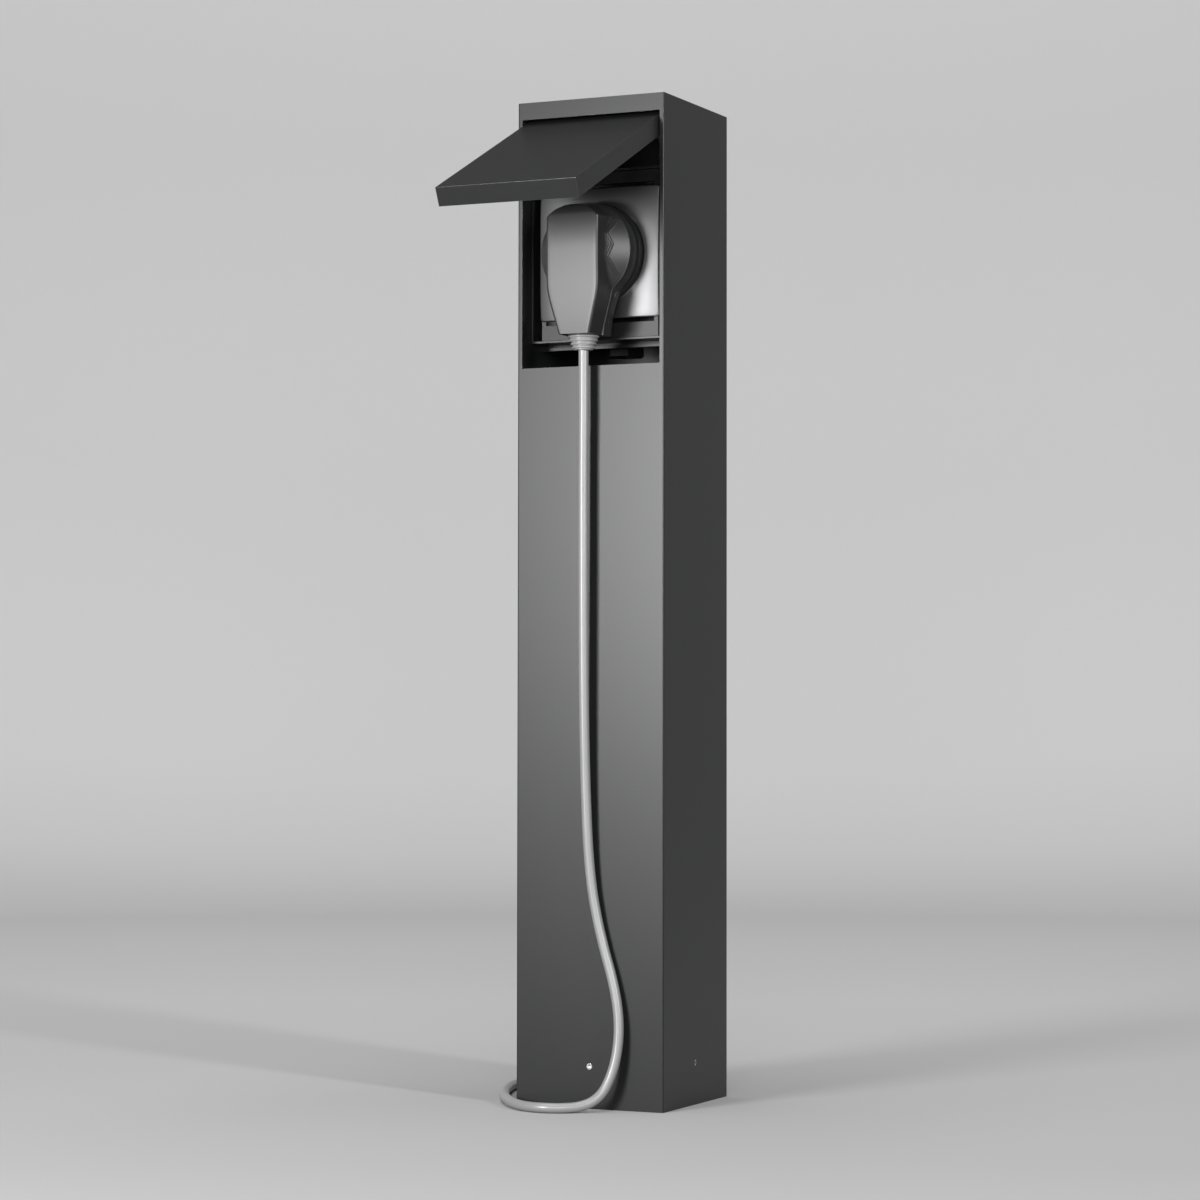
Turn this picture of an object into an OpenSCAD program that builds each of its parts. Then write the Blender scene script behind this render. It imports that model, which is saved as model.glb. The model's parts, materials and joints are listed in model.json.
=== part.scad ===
// Outdoor socket: a square steel column with a hinged flap over a recessed socket outlet.
// An angled plug sits in the outlet, and its lead hangs down the front and lies coiled behind.
// Millimetres. The origin is the centre of the footprint, on the ground. The front faces -Y.

/* [Column] */
// Outside width and depth of the square column
column_w = 100; // [98:1:130]
// Height of the column above the ground
column_h = 625; // [560:5:1000]
// Thickness of the column's wall
column_wall = 3; // [2:0.5:4]
// Radius of the column's outer long edges
edge_r = 1; // [0.5:0.1:1.8]
// Thickness of the plate that closes the top
top_t = 3; // [2:0.5:5]
// Height of the front wall that is left above the window
band_h = 10.7; // [9:0.1:40]
// Height of the window in the front wall
window_h = 156; // [150:1:200]

/* [Flap] */
// Depth of the folded flap, from its outer face to its inner edge
flap_t = 12; // [9:0.5:13]
// Thickness of the flap's sheet
flap_sheet = 2; // [1.5:0.1:2.5]
// Gap between the flap and the column at each side
flap_gap = 0.8; // [0.5:0.1:1.5]
// Gap above the closed flap
flap_gap_top = 2.1; // [1.8:0.1:4]
// Gap below the closed flap
flap_gap_bottom = 2.5; // [1:0.1:10]
// Radius of the flap's upper outer edge
flap_top_r = 3; // [2:0.1:5]
// Angle at which the flap stands open, from closed
flap_open = 65; // [46:1:75]

/* [Hinge] */
// Depth of the hinge axis behind the column's front
hinge_inset = 15; // [14:0.5:17]
// Drop of the hinge axis below the top of the window
hinge_drop = 12.9; // [12:0.1:16]
// Diameter of the hinge rod
hinge_d = 5; // [4:0.5:6]
// Radius of the flap's ears and the brackets' bosses round the rod
hinge_boss_r = 6; // [5:0.5:7]
// Radial clearance of a turning or sliding fit
run_gap = 0.05; // [0.03:0.01:0.08]
// Thickness of the two friction washers
washer_t = 0.8; // [0.5:0.1:1.5]
// Outer radius of the friction washers
washer_r = 5.5; // [4.5:0.1:7]
// Thickness of the hinge brackets
bracket_t = 2; // [1.5:0.1:3]

/* [Niche] */
// Gap between the closed flap's inner edge and the lip of the niche
lip_gap = 0.4; // [0.3:0.1:2]
// Height of the lip frame
lip_h = 106.8; // [104:0.2:115]
// Gap between the lip frame and the inside of the column
lip_side_gap = 0.4; // [0.3:0.1:2]
// Thickness of the lip frame's sheet
lip_t = 1.2; // [0.8:0.1:1.5]
// Depth of the lip frame
lip_depth = 17; // [14:0.5:24]
// Thickness of the carrier sheet behind the niche
carrier_t = 1.8; // [1.2:0.1:2.5]
// Depth of the carrier's two shelves in front of its back
shelf_depth = 3.8; // [2:0.1:6]
// Width of the shelves
shelf_w = 80; // [60:1:86]
// Gap between a shelf and the lip frame
shelf_gap = 1.8; // [1:0.1:2.5]
// Depth of the carrier's side flanges
flange_depth = 24; // [10:1:40]

/* [Socket] */
// Height of the socket's centre above the bottom of the window
socket_rise = 70.2; // [68:0.1:100]
// Width by which the cover plate covers the support frame at each side
support_in = 0.3; // [0:0.1:2]
// Thickness of the support frame
support_t = 2; // [1.5:0.1:3]
// Depth of the support frame's front behind the lip's edge
support_set = 1.6; // [0.5:0.1:4]
// Height of the two slots in the support frame
slot_h = 2.9; // [1:0.1:3.5]
// Width of the cover plate
cover_w = 80.6; // [76:0.2:84]
// Height of the cover plate
cover_h = 82; // [76:0.5:84]
// Thickness of the cover plate
cover_t = 4; // [2.5:0.1:5]
// Height of the cover's centre above the socket's centre
cover_lift = 1; // [0:0.1:2]
// Radius of the round collar that the plug seats on
collar_r = 31.4; // [30:0.1:34]
// Height of the collar in front of the support frame
collar_h = 8.7; // [6:0.1:10]
// Radius of the recess for the plug's insert
recess_r = 20; // [19.5:0.1:20.5]
// Depth of the recess
recess_depth = 17.5; // [17.2:0.1:18.5]
// Radius of the socket's barrel behind the support frame
barrel_r = 27; // [26:0.5:28]
// Wall of the ring nut behind the support frame
nut_wall = 4.4; // [3:0.1:5]
// Thickness of the ring nut
nut_t = 3; // [2:0.5:4]
// Thickness of the recess's floor
floor_t = 3; // [2:0.1:4]
// Length of the base block that holds the sleeves
block_l = 22; // [21:0.5:28]
// Distance between the centres of the two pins
pin_pitch = 19; // [18:0.1:20]
// Diameter of the plug's pins
pin_d = 4.8; // [4:0.1:5]
// Wall of the contact sleeves
sleeve_wall = 1; // [0.7:0.1:1.5]
// Length of the contact sleeves
sleeve_l = 18; // [16:0.5:20]
// Width of the earth clips
clip_w = 6; // [4:0.5:7]
// Thickness of the earth clips
clip_t = 1.2; // [0.8:0.1:1.4]
// Clearance of pieces that pass through a hole
pass_gap = 0.5; // [0.3:0.1:1]

/* [Plug] */
// Radius of the plug's round head
head_r = 30.4; // [29:0.1:31]
// Thickness of the rear shell, from the seat to the joint line
rear_t = 11; // [8:0.5:13]
// Rise of the domed front shell in front of the joint line
dome_h = 4; // [2:0.5:6]
// Projection of the grip in front of the joint line
grip_h = 21; // [14:0.5:26]
// Width of the grip
grip_w = 33.6; // [28:0.2:38]
// Width of the grip at its lower end
grip_end_w = 21.2; // [16:0.2:26]
// Gap between the plug and the collar
plug_gap = 0.3; // [0.2:0.1:1]
// Radius of the insert that enters the recess
insert_r = 19; // [18.5:0.1:19.2]
// Gap between the insert and the recess's floor
insert_gap = 0.5; // [0.3:0.1:1]
// Length of the pins in front of the insert
pin_l = 19; // [17:0.5:19.5]
// Distance from the socket's centre down to the plug's lower end
tail_drop = 52.5; // [48:0.5:58]
// Distance of the lead's axis in front of the joint line
lead_out = 3.5; // [3:0.1:6]
// Radius of the strain relief's first ring
relief_r = 9.7; // [9:0.1:11]
// Radius of the strain relief's last ring
relief_end_r = 7.2; // [6:0.1:8]
// Length of the strain relief below the plug
relief_l = 9; // [8:0.5:30]
// Radius of the strain relief's stem inside the plug
stem_r = 7; // [5:0.1:7.5]
// Length of that stem
stem_l = 14; // [12:0.5:20]

/* [Lead] */
// Diameter of the lead
lead_d = 6.2; // [5:0.1:7]
// Turns of the coil behind the column, in two layers
coil_turns = 5; // [4:1:5]
// Least gap from turn to turn in the coil
turn_gap = 0.6; // [0.45:0.05:1]
// Radius of the coil at the middle of its turns
coil_r = 34; // [31:0.5:37]
// Height of the coil's lowest turn above the ground
coil_lift = 0.5; // [0.5:0.05:1.5]
// Width of the tie round the coil
tie_w = 12; // [8:0.5:16]
// Thickness of the tie
tie_t = 0.4; // [0.3:0.05:0.4]
// Straight length of lead between the coil and the connector's strain relief
tail_l = 18; // [16:0.5:30]
// Length of the connector's strain relief
boot_l = 28; // [20:0.5:40]
// Length of the connector's body
connector_l = 33; // [28:0.5:45]
// Width of the connector's body
connector_w = 27; // [24:0.5:30]
// Height of the connector's body
connector_h = 20.4; // [18:0.1:20.4]

/* [Ground base] */
// Gap between the ground base and the inside of the column
base_gap = 0.3; // [0.2:0.1:1]
// Thickness of the base's plate
base_t = 5; // [4:0.5:8]
// Thickness of the base's upstand
spigot_t = 5; // [4:0.5:8]
// Height of the upstand
spigot_h = 50; // [40:1:90]
// Distance between anchor holes along each side
anchor_pitch = 60; // [50:1:66]
// Diameter of the anchor holes
anchor_d = 9; // [6:0.5:11]
// Diameter of the hole for the feed cable
feed_d = 40; // [20:1:46]
// Height of the set screws above the ground
screw_z = 26; // [15:0.5:36]
// Diameter of the set screws
screw_d = 4; // [4:1:6]
// Length of the set screws
screw_l = 6.5; // [5:0.5:8]

/* [Wiring box] */
// Width of the wiring box
box_w = 76; // [72:1:84]
// Depth of the wiring box
box_depth = 43; // [30:1:55]
// Wall of the wiring box
box_wall = 2.5; // [2:0.1:3]
// Thickness of the gasket in front of the box
gasket_t = 1.5; // [1:0.1:3]
// Diameter of the cable gland's thread
gland_d = 16; // [14:1:20]
// Distance of the gland behind the middle of the column
gland_y = 4; // [0:0.5:8]
// Diameter of the hole in the gland's nut
gland_bore = 11; // [8:0.5:12]
// Height of the earth stud above the ground
stud_z = 420; // [200:5:440]

/* [Hidden] */
$fn = 64;
// How far a cut runs past the face that it opens
cut = 1;

front_y = -column_w / 2;
inner = column_w / 2 - column_wall;
window_top = column_h - band_h;
window_bottom = window_top - window_h;

hinge_y = front_y + hinge_inset;
hinge_z = window_top - hinge_drop;
hinge_r = hinge_d / 2;
flap_half = inner - flap_gap;
flap_z0 = window_bottom + flap_gap_bottom;
flap_z1 = window_top - flap_gap_top;
rim_in = flap_half - flap_sheet;
bracket_x1 = rim_in - washer_t;
bracket_x0 = bracket_x1 - bracket_t;
// Distance of the rod's ends inside the flap's sides
rod_set = 0.2;
// Lap of the flap's ears over its sides
ear_lap = 1;
rod_end = flap_half - rod_set;

socket_z = window_bottom + socket_rise;
lip_y = front_y + flap_t + lip_gap;
lip_half = inner - lip_side_gap;
lip_z0 = socket_z - lip_h / 2;
lip_z1 = socket_z + lip_h / 2;
lip_back = lip_y + lip_depth;
carrier_back = lip_back + carrier_t;
shelf_z0 = lip_z0 - shelf_gap - carrier_t;
shelf_z1 = lip_z1 + shelf_gap;
carrier_top = hinge_z + hinge_boss_r;

// The brackets' feet, and their screws
foot_w = 10;
foot_t = 2;
foot_gap = 0.8;
foot_rise = 2;
foot_z0 = shelf_z1 + carrier_t + foot_gap;
foot_z1 = hinge_z + foot_rise;
foot_screw_x = bracket_x1 - foot_w / 2;
foot_screw_z = (foot_z0 + foot_z1) / 2;
foot_screw_step = 4.2;
foot_screw_out = 1;

// The small screws' thread, head and hexagonal socket, and the slot of the others
small_r = 1.5;
small_head_r = 2.8;
small_head_h = 2;
small_hex = 2;
slot_w = 0.8;
slot_depth = 0.7;

support_half = cover_w / 2 - support_in;
support_gap = 0.2;
support_rail = 3;
support_y = lip_y + support_set;
support_back = support_y + support_t;
support_h = lip_h - 2 * (lip_t + support_gap);
cover_y = support_y - cover_t;
cover_z0 = socket_z + cover_lift - cover_h / 2;
cover_z1 = socket_z + cover_lift + cover_h / 2;
cover_bevel = 1.6;
cover_gap = 0.2;
slot_in = 0.5;

collar_y = support_y - collar_h;
floor_y = collar_y + recess_depth;
block_y = floor_y + floor_t;
block_back = block_y + block_l;
base_thread = 10;
pin_r = pin_d / 2;
pin_x = pin_pitch / 2;
sleeve_in = pin_r + run_gap;
sleeve_r = sleeve_in + sleeve_wall;
sleeve_end = 1.5;
clip_gap = 0.3;
clip_set = 1;
clip_in = insert_r + clip_gap;
nut_r = barrel_r + nut_wall;

// The terminal screws: distance from the sleeve's end, and depth of head and hole in the block
terminal_in = 3;
terminal_head = 3.5;
terminal_set = 1.5;

// The spacers behind the support frame
post_x = support_half - 7;
post_z = support_h / 2 - 6;
post_r = 3.5;
post_thread = 6;

box_front = carrier_back + gasket_t;
box_back = box_front + box_depth;
box_h = box_w;
box_screw = box_w / 2 - 5;
box_post_r = 4;
box_screw_l = 14;
box_screw_spare = 2;

// The gland: widths across the flats, lengths and walls
gland_r = gland_d / 2;
gland_z = socket_z - box_h / 2;
gland_hex = gland_d + 6;
gland_hex_h = 6;
gland_thread_l = 10;
gland_lock_t = 4;
gland_wall = 2;
gland_bore_r = gland_r - gland_wall;
gland_nut_hex = gland_d + 5;
gland_nut_l = 16;
seal_wall = 2.4;
seal_l = 8;

// The earth stud, its nuts and the lug between them
stud_r = 3;
stud_l = 16;
stud_hex = 10;
stud_nut_h = 5;
stud_gap = 1;
lug_r = 6;
lug_t = 2;

plug_y = collar_y - plug_gap;
joint_y = plug_y - rear_t;
dome_y = joint_y - dome_h;
dome_edge = 1;
grip_y = joint_y - grip_h;
grip_shoulder = 26;
grip_slope = 6;
grip_arc_r = head_r - 6.7;
grip_arc_z = 3.8;
grip_side = 10;
neck = [[18.7, -24.5], [15.6, -33], [13.6, -41], [12.2, -tail_drop]];
neck_lap = 3;
neck_top = 8;
insert_end = floor_y - insert_gap;
insert_boss_r = 16;
insert_boss_y = plug_y - 7;
pin_end = insert_end + pin_l;
pin_root = plug_y - 5;
pin_tip_l = 1.5;
pin_tip_in = 1.2;
strip_depth = 0.7;
strip_set = 0.3;
strip_end = 1.5;
latch_r = 1.1;
latch_places = [[17.2, -27], [13.4, -43.5]];
latch_y = joint_y + 5;
latch_in = 2;
latch_proud = 0.5;
latch_hole = 12;
lead_y = joint_y - lead_out;
tail_z = socket_z - tail_drop;
relief_rings = 4;
relief_groove = 1.1;
relief_groove_share = 0.35;
lead_r = lead_d / 2;

base_half = inner - base_gap;
spigot_in = base_half - spigot_t;
screw_r = screw_d / 2;
screw_set = 0.3;

turn_step = lead_d + turn_gap;
coil_out = coil_r + coil_turns / 4 * turn_step;
coil_z0 = lead_r + coil_lift;
coil_z1 = coil_z0 + turn_step;
coil_centre = [-45, 102];
coil_rings = 24;
tie_angle = 45;
tie_gap_in = 1.2;
tie_gap_out = 0.5;
tie_gap_top = 0.4;
tie_gap_under = 0.05;
tail_x = coil_centre[0] - coil_out;
tail_y = coil_centre[1] + tail_l;

// The far end: walls of its strain relief, bevel of the body, and its three contacts
boot_y = tail_y + boot_l;
boot_wall = 1.1;
boot_end_wall = 3.9;
connector_cut = 6;
contact_half_w = 1.3;
contact_half_h = 2.4;
contact_slot = 0.7;
contact_x = 7;
contact_z = 2;
contact_root = 8;
contact_web = 4;
contact_set = 2;

// The free stretch of the lead, from the strain relief to the coil, by hand.
lead_route = [
    [0, -59.5, 467], [0, -59.5, 455], [0, -59.5, 425], [-0.2, -59.4, 395], [-0.2, -59.3, 360],
    [-0.2, -59.1, 325], [-0.2, -58.7, 290], [-0.1, -58.2, 255], [0.2, -57.4, 220],
    [0.8, -56.6, 190], [2, -55.8, 160], [4.2, -55, 136], [7.8, -54.5, 116], [12.4, -54.3, 98],
    [17.2, -54.4, 82], [21, -54.9, 66], [22.7, -55.8, 51], [22.2, -57.2, 37], [20, -59.4, 24.5],
    [16, -62.8, 13.5], [10.6, -67, 7], [3.6, -72, 4], [-4.6, -77.2, 3.2], [-13.4, -80.6, 3.2],
    [-23, -80.4, 3.2], [-33, -75.8, 3.2], [-44, -66, 3.2], [-58, -47.4, 3.2], [-71.5, -23, 3.2],
    [-81, -1, 3.2], [-87.5, 20, 3.2], [-90.4, 42, 3.3], [-89.4, 64, 3.5], [-87.6, 82, 3.6],
    [-87.5, 89, 3.6], [-87.5, 95.8, 3.6]
];

graphite = [0.17, 0.175, 0.18];
black = [0.06, 0.06, 0.065];
zinc = [0.62, 0.63, 0.65];
bright = [0.78, 0.78, 0.8];
moulded = [0.36, 0.365, 0.37];
rubber = [0.25, 0.25, 0.255];
brass = [0.75, 0.6, 0.3];

// A flat shape in the YZ plane, drawn from x0 to x1.
module along_x(x0, x1) {
    translate([x0, 0, 0]) rotate([90, 0, 90]) linear_extrude(x1 - x0) children();
}

// A flat shape in the XZ plane, drawn from y0 to y1.
module along_y(y0, y1) {
    translate([0, y1, 0]) rotate([90, 0, 0]) linear_extrude(y1 - y0) children();
}

// A box from its lowest to its highest corner.
module block(low, high) {
    translate(low) cube(high - low);
}

// A round bar along Y at x, z.
module bar_y(x, z, r, y0, y1, r_end = undef) {
    end = is_undef(r_end) ? r : r_end;
    translate([x, y0, z]) rotate([-90, 0, 0]) cylinder(h = y1 - y0, r1 = r, r2 = end);
}

// A hexagonal bar of height h, with its width across the flats.
module hexagon(flats, h) {
    cylinder(h = h, d = flats / cos(30), $fn = 6);
}

// The same along Y at x, z.
module hex_y(x, z, flats, y0, y1) {
    translate([x, y0, z]) rotate([-90, 0, 0]) hexagon(flats, y1 - y0);
}

// Two or four copies, mirrored left to right and, where asked, top to bottom about height z.
module both_sides() {
    children();
    mirror([1, 0, 0]) children();
}

module four_corners(z) {
    both_sides() {
        children();
        translate([0, 0, 2 * z]) mirror([0, 0, 1]) children();
    }
}

module column_tube() color(graphite) difference() {
    linear_extrude(column_h) rounded_square(column_w / 2, edge_r);
    translate([0, 0, -cut]) linear_extrude(column_h + 2 * cut) square(2 * inner, center = true);
    block([-inner, front_y - cut, window_bottom], [inner, front_y + column_wall + cut, window_top]);
    for (a = [0:90:270]) rotate([0, 0, a])
        bar_y(0, screw_z, screw_r, front_y - cut, front_y + column_wall + cut);
}

// A square with round corners, by its half width.
module rounded_square(half, r) {
    square([2 * half, 2 * (half - r)], center = true);
    square([2 * (half - r), 2 * half], center = true);
    for (x = [-1, 1], y = [-1, 1]) translate([x * (half - r), y * (half - r)]) circle(r);
}

module top_plate() color(graphite)
    block([-inner, -inner, column_h - top_t], [inner, inner, column_h]);

// The plate and upstand that are bolted to the ground, and that the column slides over.
module ground_base() color(zinc) difference() {
    block([-base_half, -base_half, 0], [base_half, base_half, spigot_h]);
    block([-spigot_in, -spigot_in, base_t], [spigot_in, spigot_in, spigot_h + cut]);
    translate([0, 0, -cut]) cylinder(h = base_t + 2 * cut, d = feed_d);
    for (x = [-1, 1], y = [-1, 1]) translate([x, y, 0] * anchor_pitch / 2)
        translate([0, 0, -cut]) cylinder(h = base_t + 2 * cut, d = anchor_d);
    for (a = [0:90:270]) rotate([0, 0, a]) bar_y(0, screw_z, screw_r, -base_half - cut, -spigot_in + cut);
}

// Four set screws, one in each wall, with a hexagonal socket.
module set_screws() color(bright) for (a = [0:90:270]) rotate([0, 0, a]) difference() {
    bar_y(0, screw_z, screw_r, front_y + screw_set, front_y + screw_set + screw_l);
    hex_y(0, screw_z, screw_d / 2, front_y, front_y + screw_set + screw_d / 2);
}

// A welded stud on the rear wall for the earth wire.
module earth_stud() color(zinc) bar_y(0, stud_z, stud_r, inner - stud_l, inner);

module earth_nuts() color(zinc) difference() {
    lug_y = inner - stud_gap - stud_nut_h;
    union() {
        hex_y(0, stud_z, stud_hex, lug_y, lug_y + stud_nut_h);
        bar_y(0, stud_z, lug_r, lug_y - lug_t, lug_y);
        hex_y(0, stud_z, stud_hex, lug_y - lug_t - stud_nut_h, lug_y - lug_t);
    }
    bar_y(0, stud_z, stud_r, inner - stud_l - cut, inner + cut);
}

// The tray that frames the socket. The closed flap meets its front edge.
module lip_frame() color(zinc) difference() {
    block([-lip_half, lip_y, lip_z0], [lip_half, lip_back, lip_z1]);
    block(
        [-lip_half + lip_t, lip_y - cut, lip_z0 + lip_t],
        [lip_half - lip_t, lip_back - lip_t, lip_z1 - lip_t]
    );
    bar_y(0, socket_z, barrel_r + pass_gap, lip_y, lip_back + cut);
    four_corners(socket_z) {
        bar_y(post_x, socket_z + post_z, small_r + run_gap, lip_y, lip_back + cut);
        bar_y(box_screw, socket_z + box_screw, small_r + run_gap, lip_y, lip_back + cut);
    }
}

// The folded sheet that is welded between the side walls and carries the niche, socket and hinge.
module carrier() color(black) difference() {
    union() {
        block([-inner, lip_back, shelf_z0], [inner, carrier_back, carrier_top]);
        both_sides() block(
            [inner - carrier_t, carrier_back, shelf_z0],
            [inner, carrier_back + flange_depth, carrier_top]
        );
        for (z = [shelf_z0, shelf_z1])
            block([-shelf_w / 2, lip_back - shelf_depth, z], [shelf_w / 2, lip_back, z + carrier_t]);
    }
    bar_y(0, socket_z, barrel_r + pass_gap, lip_y, carrier_back + cut);
    four_corners(socket_z) {
        bar_y(post_x, socket_z + post_z, small_r + run_gap, lip_y, carrier_back + cut);
        bar_y(box_screw, socket_z + box_screw, small_r + run_gap, lip_y, carrier_back + cut);
    }
    foot_screw_places() bar_y(0, 0, small_r, lip_back - cut, carrier_back + cut);
}

module foot_screw_places() both_sides() for (s = [-1, 1])
    translate([foot_screw_x, 0, foot_screw_z + s * foot_screw_step]) children();

// The plate behind the cover, with a slot above and below it.
module support_frame() color(zinc) difference() {
    block(
        [-support_half, support_y, socket_z - support_h / 2],
        [support_half, support_back, socket_z + support_h / 2]
    );
    bar_y(0, socket_z, barrel_r + pass_gap, support_y - cut, support_back + cut);
    for (z = [cover_z0 + slot_in - slot_h, cover_z1 - slot_in]) block(
        [-support_half + support_rail, support_y - cut, z],
        [support_half - support_rail, support_back + cut, z + slot_h]
    );
}

// Four spacers welded to the back of the support frame.
module support_posts() color(zinc) four_corners(socket_z) difference() {
    bar_y(post_x, socket_z + post_z, post_r, support_back, lip_back - lip_t);
    bar_y(post_x, socket_z + post_z, small_r, lip_back - lip_t - post_thread - cut, lip_back);
}

// A screw along Y with its head at y and its tip towards dir.
module small_screw(y, length, dir) {
    flip = dir > 0 ? 0 : 1;
    translate([0, y, 0]) mirror([0, flip, 0]) difference() {
        union() {
            bar_y(0, 0, small_head_r, -small_head_h, 0);
            bar_y(0, 0, small_r, 0, length);
        }
        hex_y(0, 0, small_hex, -small_head_h - cut, -small_head_h / 2);
    }
}

module post_screws() color(bright) four_corners(socket_z)
    translate([post_x, 0, socket_z + post_z])
        small_screw(carrier_back, carrier_t + lip_t + post_thread, -1);

// The visible plate round the collar, with bevelled edges.
module cover_plate() color(bright) difference() {
    intersection() {
        along_x(-cover_w / 2, cover_w / 2) polygon([
            [support_y, cover_z0], [support_y, cover_z1], [cover_y + cover_bevel, cover_z1],
            [cover_y, cover_z1 - cover_bevel], [cover_y, cover_z0 + cover_bevel],
            [cover_y + cover_bevel, cover_z0]
        ]);
        translate([0, 0, cover_z0 - cut]) linear_extrude(cover_h + 2 * cut) polygon([
            [-cover_w / 2, support_y], [-cover_w / 2, cover_y + cover_bevel],
            [-cover_w / 2 + cover_bevel, cover_y], [cover_w / 2 - cover_bevel, cover_y],
            [cover_w / 2, cover_y + cover_bevel], [cover_w / 2, support_y]
        ]);
    }
    bar_y(0, socket_z, collar_r + cover_gap, cover_y - cut, support_y + cut);
}

// The insulating cup: collar, recess and barrel.
module socket_cup() color(black) difference() {
    union() {
        bar_y(0, socket_z, collar_r, collar_y, support_y);
        bar_y(0, socket_z, barrel_r, support_y, block_y);
    }
    bar_y(0, socket_z, recess_r, collar_y - cut, floor_y);
    both_sides() bar_y(pin_x, socket_z, pin_r + pass_gap, floor_y - cut, block_y + cut);
    clip_legs(cut);
    bar_y(0, socket_z, small_r, floor_y - cut, block_y + cut);
    bar_y(0, socket_z, small_r * 2 + cut, floor_y - cut, floor_y + small_r, small_r);
}

// The ring nut that clamps the cup to the support frame.
module socket_nut() color(black) difference() {
    bar_y(0, socket_z, nut_r, support_back, support_back + nut_t);
    bar_y(0, socket_z, barrel_r, support_back - cut, support_back + nut_t + cut);
}

// The two legs of the earth clip, above and below the recess.
module clip_legs(extra) {
    for (s = [-1, 1]) translate([0, 0, socket_z]) mirror([0, 0, s > 0 ? 0 : 1])
        block([-clip_w / 2, collar_y + clip_set, clip_in], [clip_w / 2, block_y + extra, clip_in + clip_t]);
}

module clip_bridge(extra) {
    half = clip_in + clip_t;
    block([-clip_w / 2, block_y - extra, socket_z - half], [clip_w / 2, block_y + clip_t, socket_z + half]);
}

module earth_clip() color(brass) difference() {
    union() {
        clip_legs(0);
        clip_bridge(0);
    }
    bar_y(0, socket_z, small_r + run_gap, block_y - cut, block_y + clip_t + cut);
}

// The block behind the cup, with bores for the sleeves and their screws.
module base_block() color(moulded) difference() {
    bar_y(0, socket_z, barrel_r, block_y, block_back);
    both_sides() bar_y(pin_x, socket_z, sleeve_r, block_y - cut, block_y + sleeve_l);
    both_sides() terminal_screw(pin_x);
    clip_bridge(cut);
    bar_y(0, socket_z, small_r, block_y - cut, block_y + base_thread);
}

module contact_sleeves() color(brass) both_sides() difference() {
    bar_y(pin_x, socket_z, sleeve_r, block_y, block_y + sleeve_l);
    bar_y(pin_x, socket_z, sleeve_in, block_y - cut, block_y + sleeve_l - sleeve_end);
}

// The shape of a screw, or of its hole, from x0 outwards past the side of the block.
module terminal_screw(x0) {
    screw_y = block_y + sleeve_l - terminal_in;
    translate([x0, screw_y, socket_z]) rotate([0, 90, 0]) cylinder(h = barrel_r, r = small_r);
    translate([barrel_r - terminal_head, screw_y, socket_z]) rotate([0, 90, 0])
        cylinder(h = barrel_r, r = small_head_r);
}

module terminal_screws() color(bright) both_sides() difference() {
    head_x = barrel_r - terminal_set;
    intersection() {
        terminal_screw(pin_x + sleeve_r);
        block([0, block_y, socket_z - barrel_r], [head_x, block_back, socket_z + barrel_r]);
    }
    block([head_x - slot_depth, block_y, socket_z - slot_w / 2], [barrel_r, block_back, socket_z + slot_w / 2]);
}

// The countersunk screw in the middle of the recess.
module centre_screw() color(bright) difference() {
    union() {
        bar_y(0, socket_z, small_r * 2, floor_y, floor_y + small_r, small_r);
        bar_y(0, socket_z, small_r, floor_y + small_r, block_y + base_thread);
    }
    block(
        [-small_r * 2, floor_y - cut, socket_z - slot_w / 2],
        [small_r * 2, floor_y + slot_depth, socket_z + slot_w / 2]
    );
}

// The sealed box behind the socket.
module wiring_box() color(black) difference() {
    union() {
        difference() {
            block([-box_w / 2, box_front, socket_z - box_h / 2], [box_w / 2, box_back, socket_z + box_h / 2]);
            block(
                [-box_w / 2 + box_wall, box_front - cut, socket_z - box_h / 2 + box_wall],
                [box_w / 2 - box_wall, box_back - box_wall, socket_z + box_h / 2 - box_wall]
            );
        }
        four_corners(socket_z)
            bar_y(box_screw, socket_z + box_screw, box_post_r, box_front, box_back - box_wall);
    }
    four_corners(socket_z)
        bar_y(box_screw, socket_z + box_screw, small_r, box_front - cut, box_front + box_screw_l);
    translate([0, gland_y, gland_z - cut]) cylinder(h = box_wall + 2 * cut, r = gland_r);
}

module box_gasket() color(rubber) difference() {
    block([-box_w / 2, carrier_back, socket_z - box_h / 2], [box_w / 2, box_front, socket_z + box_h / 2]);
    bar_y(0, socket_z, barrel_r + pass_gap, carrier_back - cut, box_front + cut);
    four_corners(socket_z)
        bar_y(box_screw, socket_z + box_screw, small_r + run_gap, carrier_back - cut, box_front + cut);
}

module box_screws() color(bright) four_corners(socket_z)
    translate([box_screw, 0, socket_z + box_screw])
        small_screw(lip_back - lip_t, lip_t + carrier_t + gasket_t + box_screw_l - box_screw_spare, 1);

// The cable gland under the box: body, nut inside, seal and cap nut.
module gland_body() color(moulded) translate([0, gland_y, gland_z - gland_hex_h]) difference() {
    top = gland_hex_h + box_wall + gland_lock_t;
    union() {
        hexagon(gland_hex, gland_hex_h);
        translate([0, 0, -gland_thread_l]) cylinder(h = gland_thread_l + top, r = gland_r);
    }
    translate([0, 0, -gland_thread_l - cut]) cylinder(h = gland_thread_l + top + 2 * cut, r = gland_bore_r);
}

module gland_locknut() color(moulded) translate([0, gland_y, gland_z + box_wall]) difference() {
    hexagon(gland_hex, gland_lock_t);
    translate([0, 0, -cut]) cylinder(h = gland_lock_t + 2 * cut, r = gland_r);
}

module gland_seal() color(rubber) translate([0, gland_y, gland_z - gland_hex_h - gland_thread_l]) difference() {
    cylinder(h = seal_l, r = gland_bore_r);
    translate([0, 0, -cut]) cylinder(h = seal_l + 2 * cut, r = gland_bore_r - seal_wall);
}

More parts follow.
